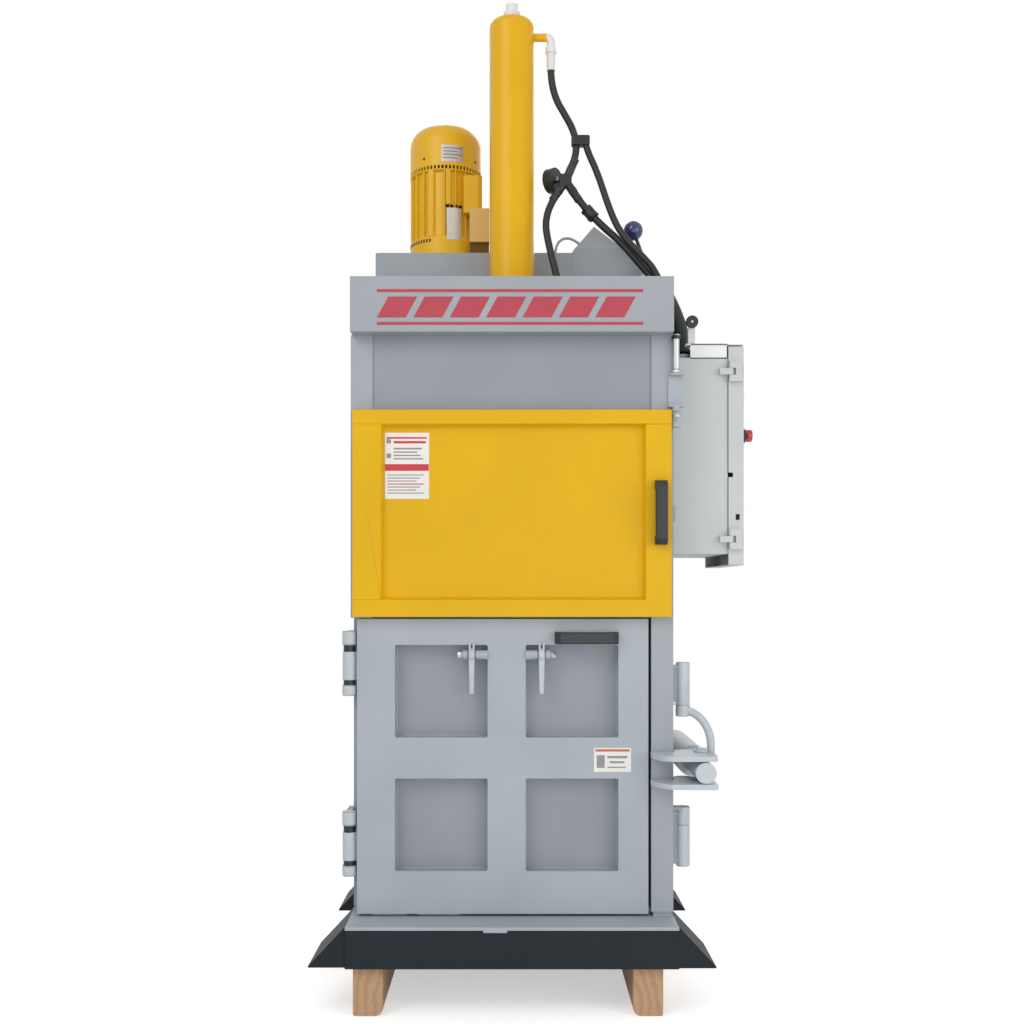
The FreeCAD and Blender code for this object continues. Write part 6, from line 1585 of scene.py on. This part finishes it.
    def cuff(self) -> None:
        """Clamp the screwed joint half-way down the slanting hose."""
        shape = new_shape()
        a, b = Vector(self.branch[0]), Vector(self.branch[1])
        middle, way = (a + b) / 2, (b - a).normalized()
        wall = [(12.5, -22.0), (17.0, -22.0), (19.0, -20.0), (19.0, 20.0), (17.0, 22.0),
                (12.5, 22.0), (12.5, -22.0)]
        add_turned(shape, tuple(middle), way, wall, sides=32)
        for shift in (-15.0, 15.0):
            add_round(shape, tuple(middle + way * (shift - 5.0)), way, 10.0, 44.0, sides=6)
        publish("hose_cuff", shape, BLACK_OXIDE, "frame", bevel_mm=0.8)

    def vent_line(self) -> None:
        """Bend the thin grey line that rises from the tank and drops into its gabled cover."""
        shape = new_shape()
        places = ((146.0, 2374.0), (147.0, 2393.0), (151.0, 2411.0), (159.0, 2425.0),
                  (170.0, 2433.5),
                  (182.0, 2437.0), (194.0, 2436.5), (206.0, 2432.5), (217.0, 2426.0),
                  (227.0, 2418.5), (236.0, 2411.0))
        add_bar(shape, [Vector((x, self.vent_y, z)) for x, z in places], TO_BACK, self.vent_width,
                16)
        publish("tank_vent_line", shape, STEEL_GREY, "frame")

    def dial(self) -> None:
        """Face the gauge with a plain scale, a bezel and a glass, and nut its stem to the tee."""
        turn = Matrix.Translation(self.tee) @ Matrix.Rotation(-math.radians(self.gauge_turn), 4,
                                                              "Z")
        out = TO_FRONT
        front, z = -self.gauge_face, self.gauge_rise
        face, bezel, glass, nut = (new_shape() for _ in range(4))
        add_round(face, (0.0, front + 5.8, z), out, 1.0, 2 * self.dial_radius, sides=48)
        for step in range(13):
            angle = math.radians(225.0 - step * 22.5)
            way = Vector((math.cos(angle), 0.0, math.sin(angle)))
            long = 7.0 if step % 3 == 0 else 4.0
            centre = Vector((0.0, front + 4.7, z)) + way * (29.0 - long / 2)
            matrix = (Matrix.Translation(centre) @ Matrix.Rotation(-angle, 4, "Y")
                      @ Matrix.Diagonal((long, 0.3, 1.2, 1.0)))
            for vert in bmesh.ops.create_cube(face, size=1.0, matrix=matrix)["verts"]:
                for each in vert.link_faces:
                    each.material_index = 1
        rim = [(self.dial_radius + dr, rise) for dr, rise in
               ((0.3, -5.0), (0.4, -0.4), (2.4, 1.0), (4.8, 0.4), (5.8, -1.6), (5.8, -6.0),
                (0.3, -5.0))]
        add_turned(bezel, (0.0, front, z), out, rim, sides=56)
        add_round(glass, (0.0, front + 0.9, z), out, 0.8, 2 * self.dial_radius, sides=48)
        add_round(nut, (0.0, -20.0, z), out, 13.0, 24.0, sides=6)
        for name, shape, finish, more in (("gauge_dial", face, LABEL_WHITE, (LABEL_GREY,)),
                                          ("gauge_bezel", bezel, BLACK_ABS, ()),
                                          ("gauge_glass", glass, CLEAR_GLASS, ()),
                                          ("gauge_nut", nut, ZINC, ())):
            bmesh.ops.transform(shape, matrix=turn, verts=shape.verts)
            publish(name, shape, finish, "frame", more=more)


def curve_length(curve: bpy.types.Curve) -> float:
    """Measure a curve's own line in metres."""
    bevel = curve.bevel_depth
    curve.bevel_depth = 0.0
    probe = bpy.data.objects.new("probe", curve)
    bpy.context.scene.collection.objects.link(probe)
    bpy.context.view_layer.update()
    mesh = bpy.data.meshes.new_from_object(probe)
    points = [v.co.copy() for v in mesh.vertices]
    bpy.data.objects.remove(probe)
    bpy.data.meshes.remove(mesh)
    curve.bevel_depth = bevel
    return sum((b - a).length for a, b in zip(points, points[1:]))


def main() -> None:
    """Coat the CAD nodes, then build the studio and every sub-assembly in order."""
    for finish, bevel_mm, names in COATS:
        for name in names:
            dress(name, finish, bevel_mm)
    for part in (Studio(), Base(), PressBody(), BaleDoor(), FeedDoor(), DoorLock(), Ram(),
                 PowerPack(), Cabinet(), Switches(), Hydraulics()):
        LOG.info("-- %s", type(part).__name__)
        part.build()
    bpy.context.view_layer.update()


if __name__ == "__main__":
    main()
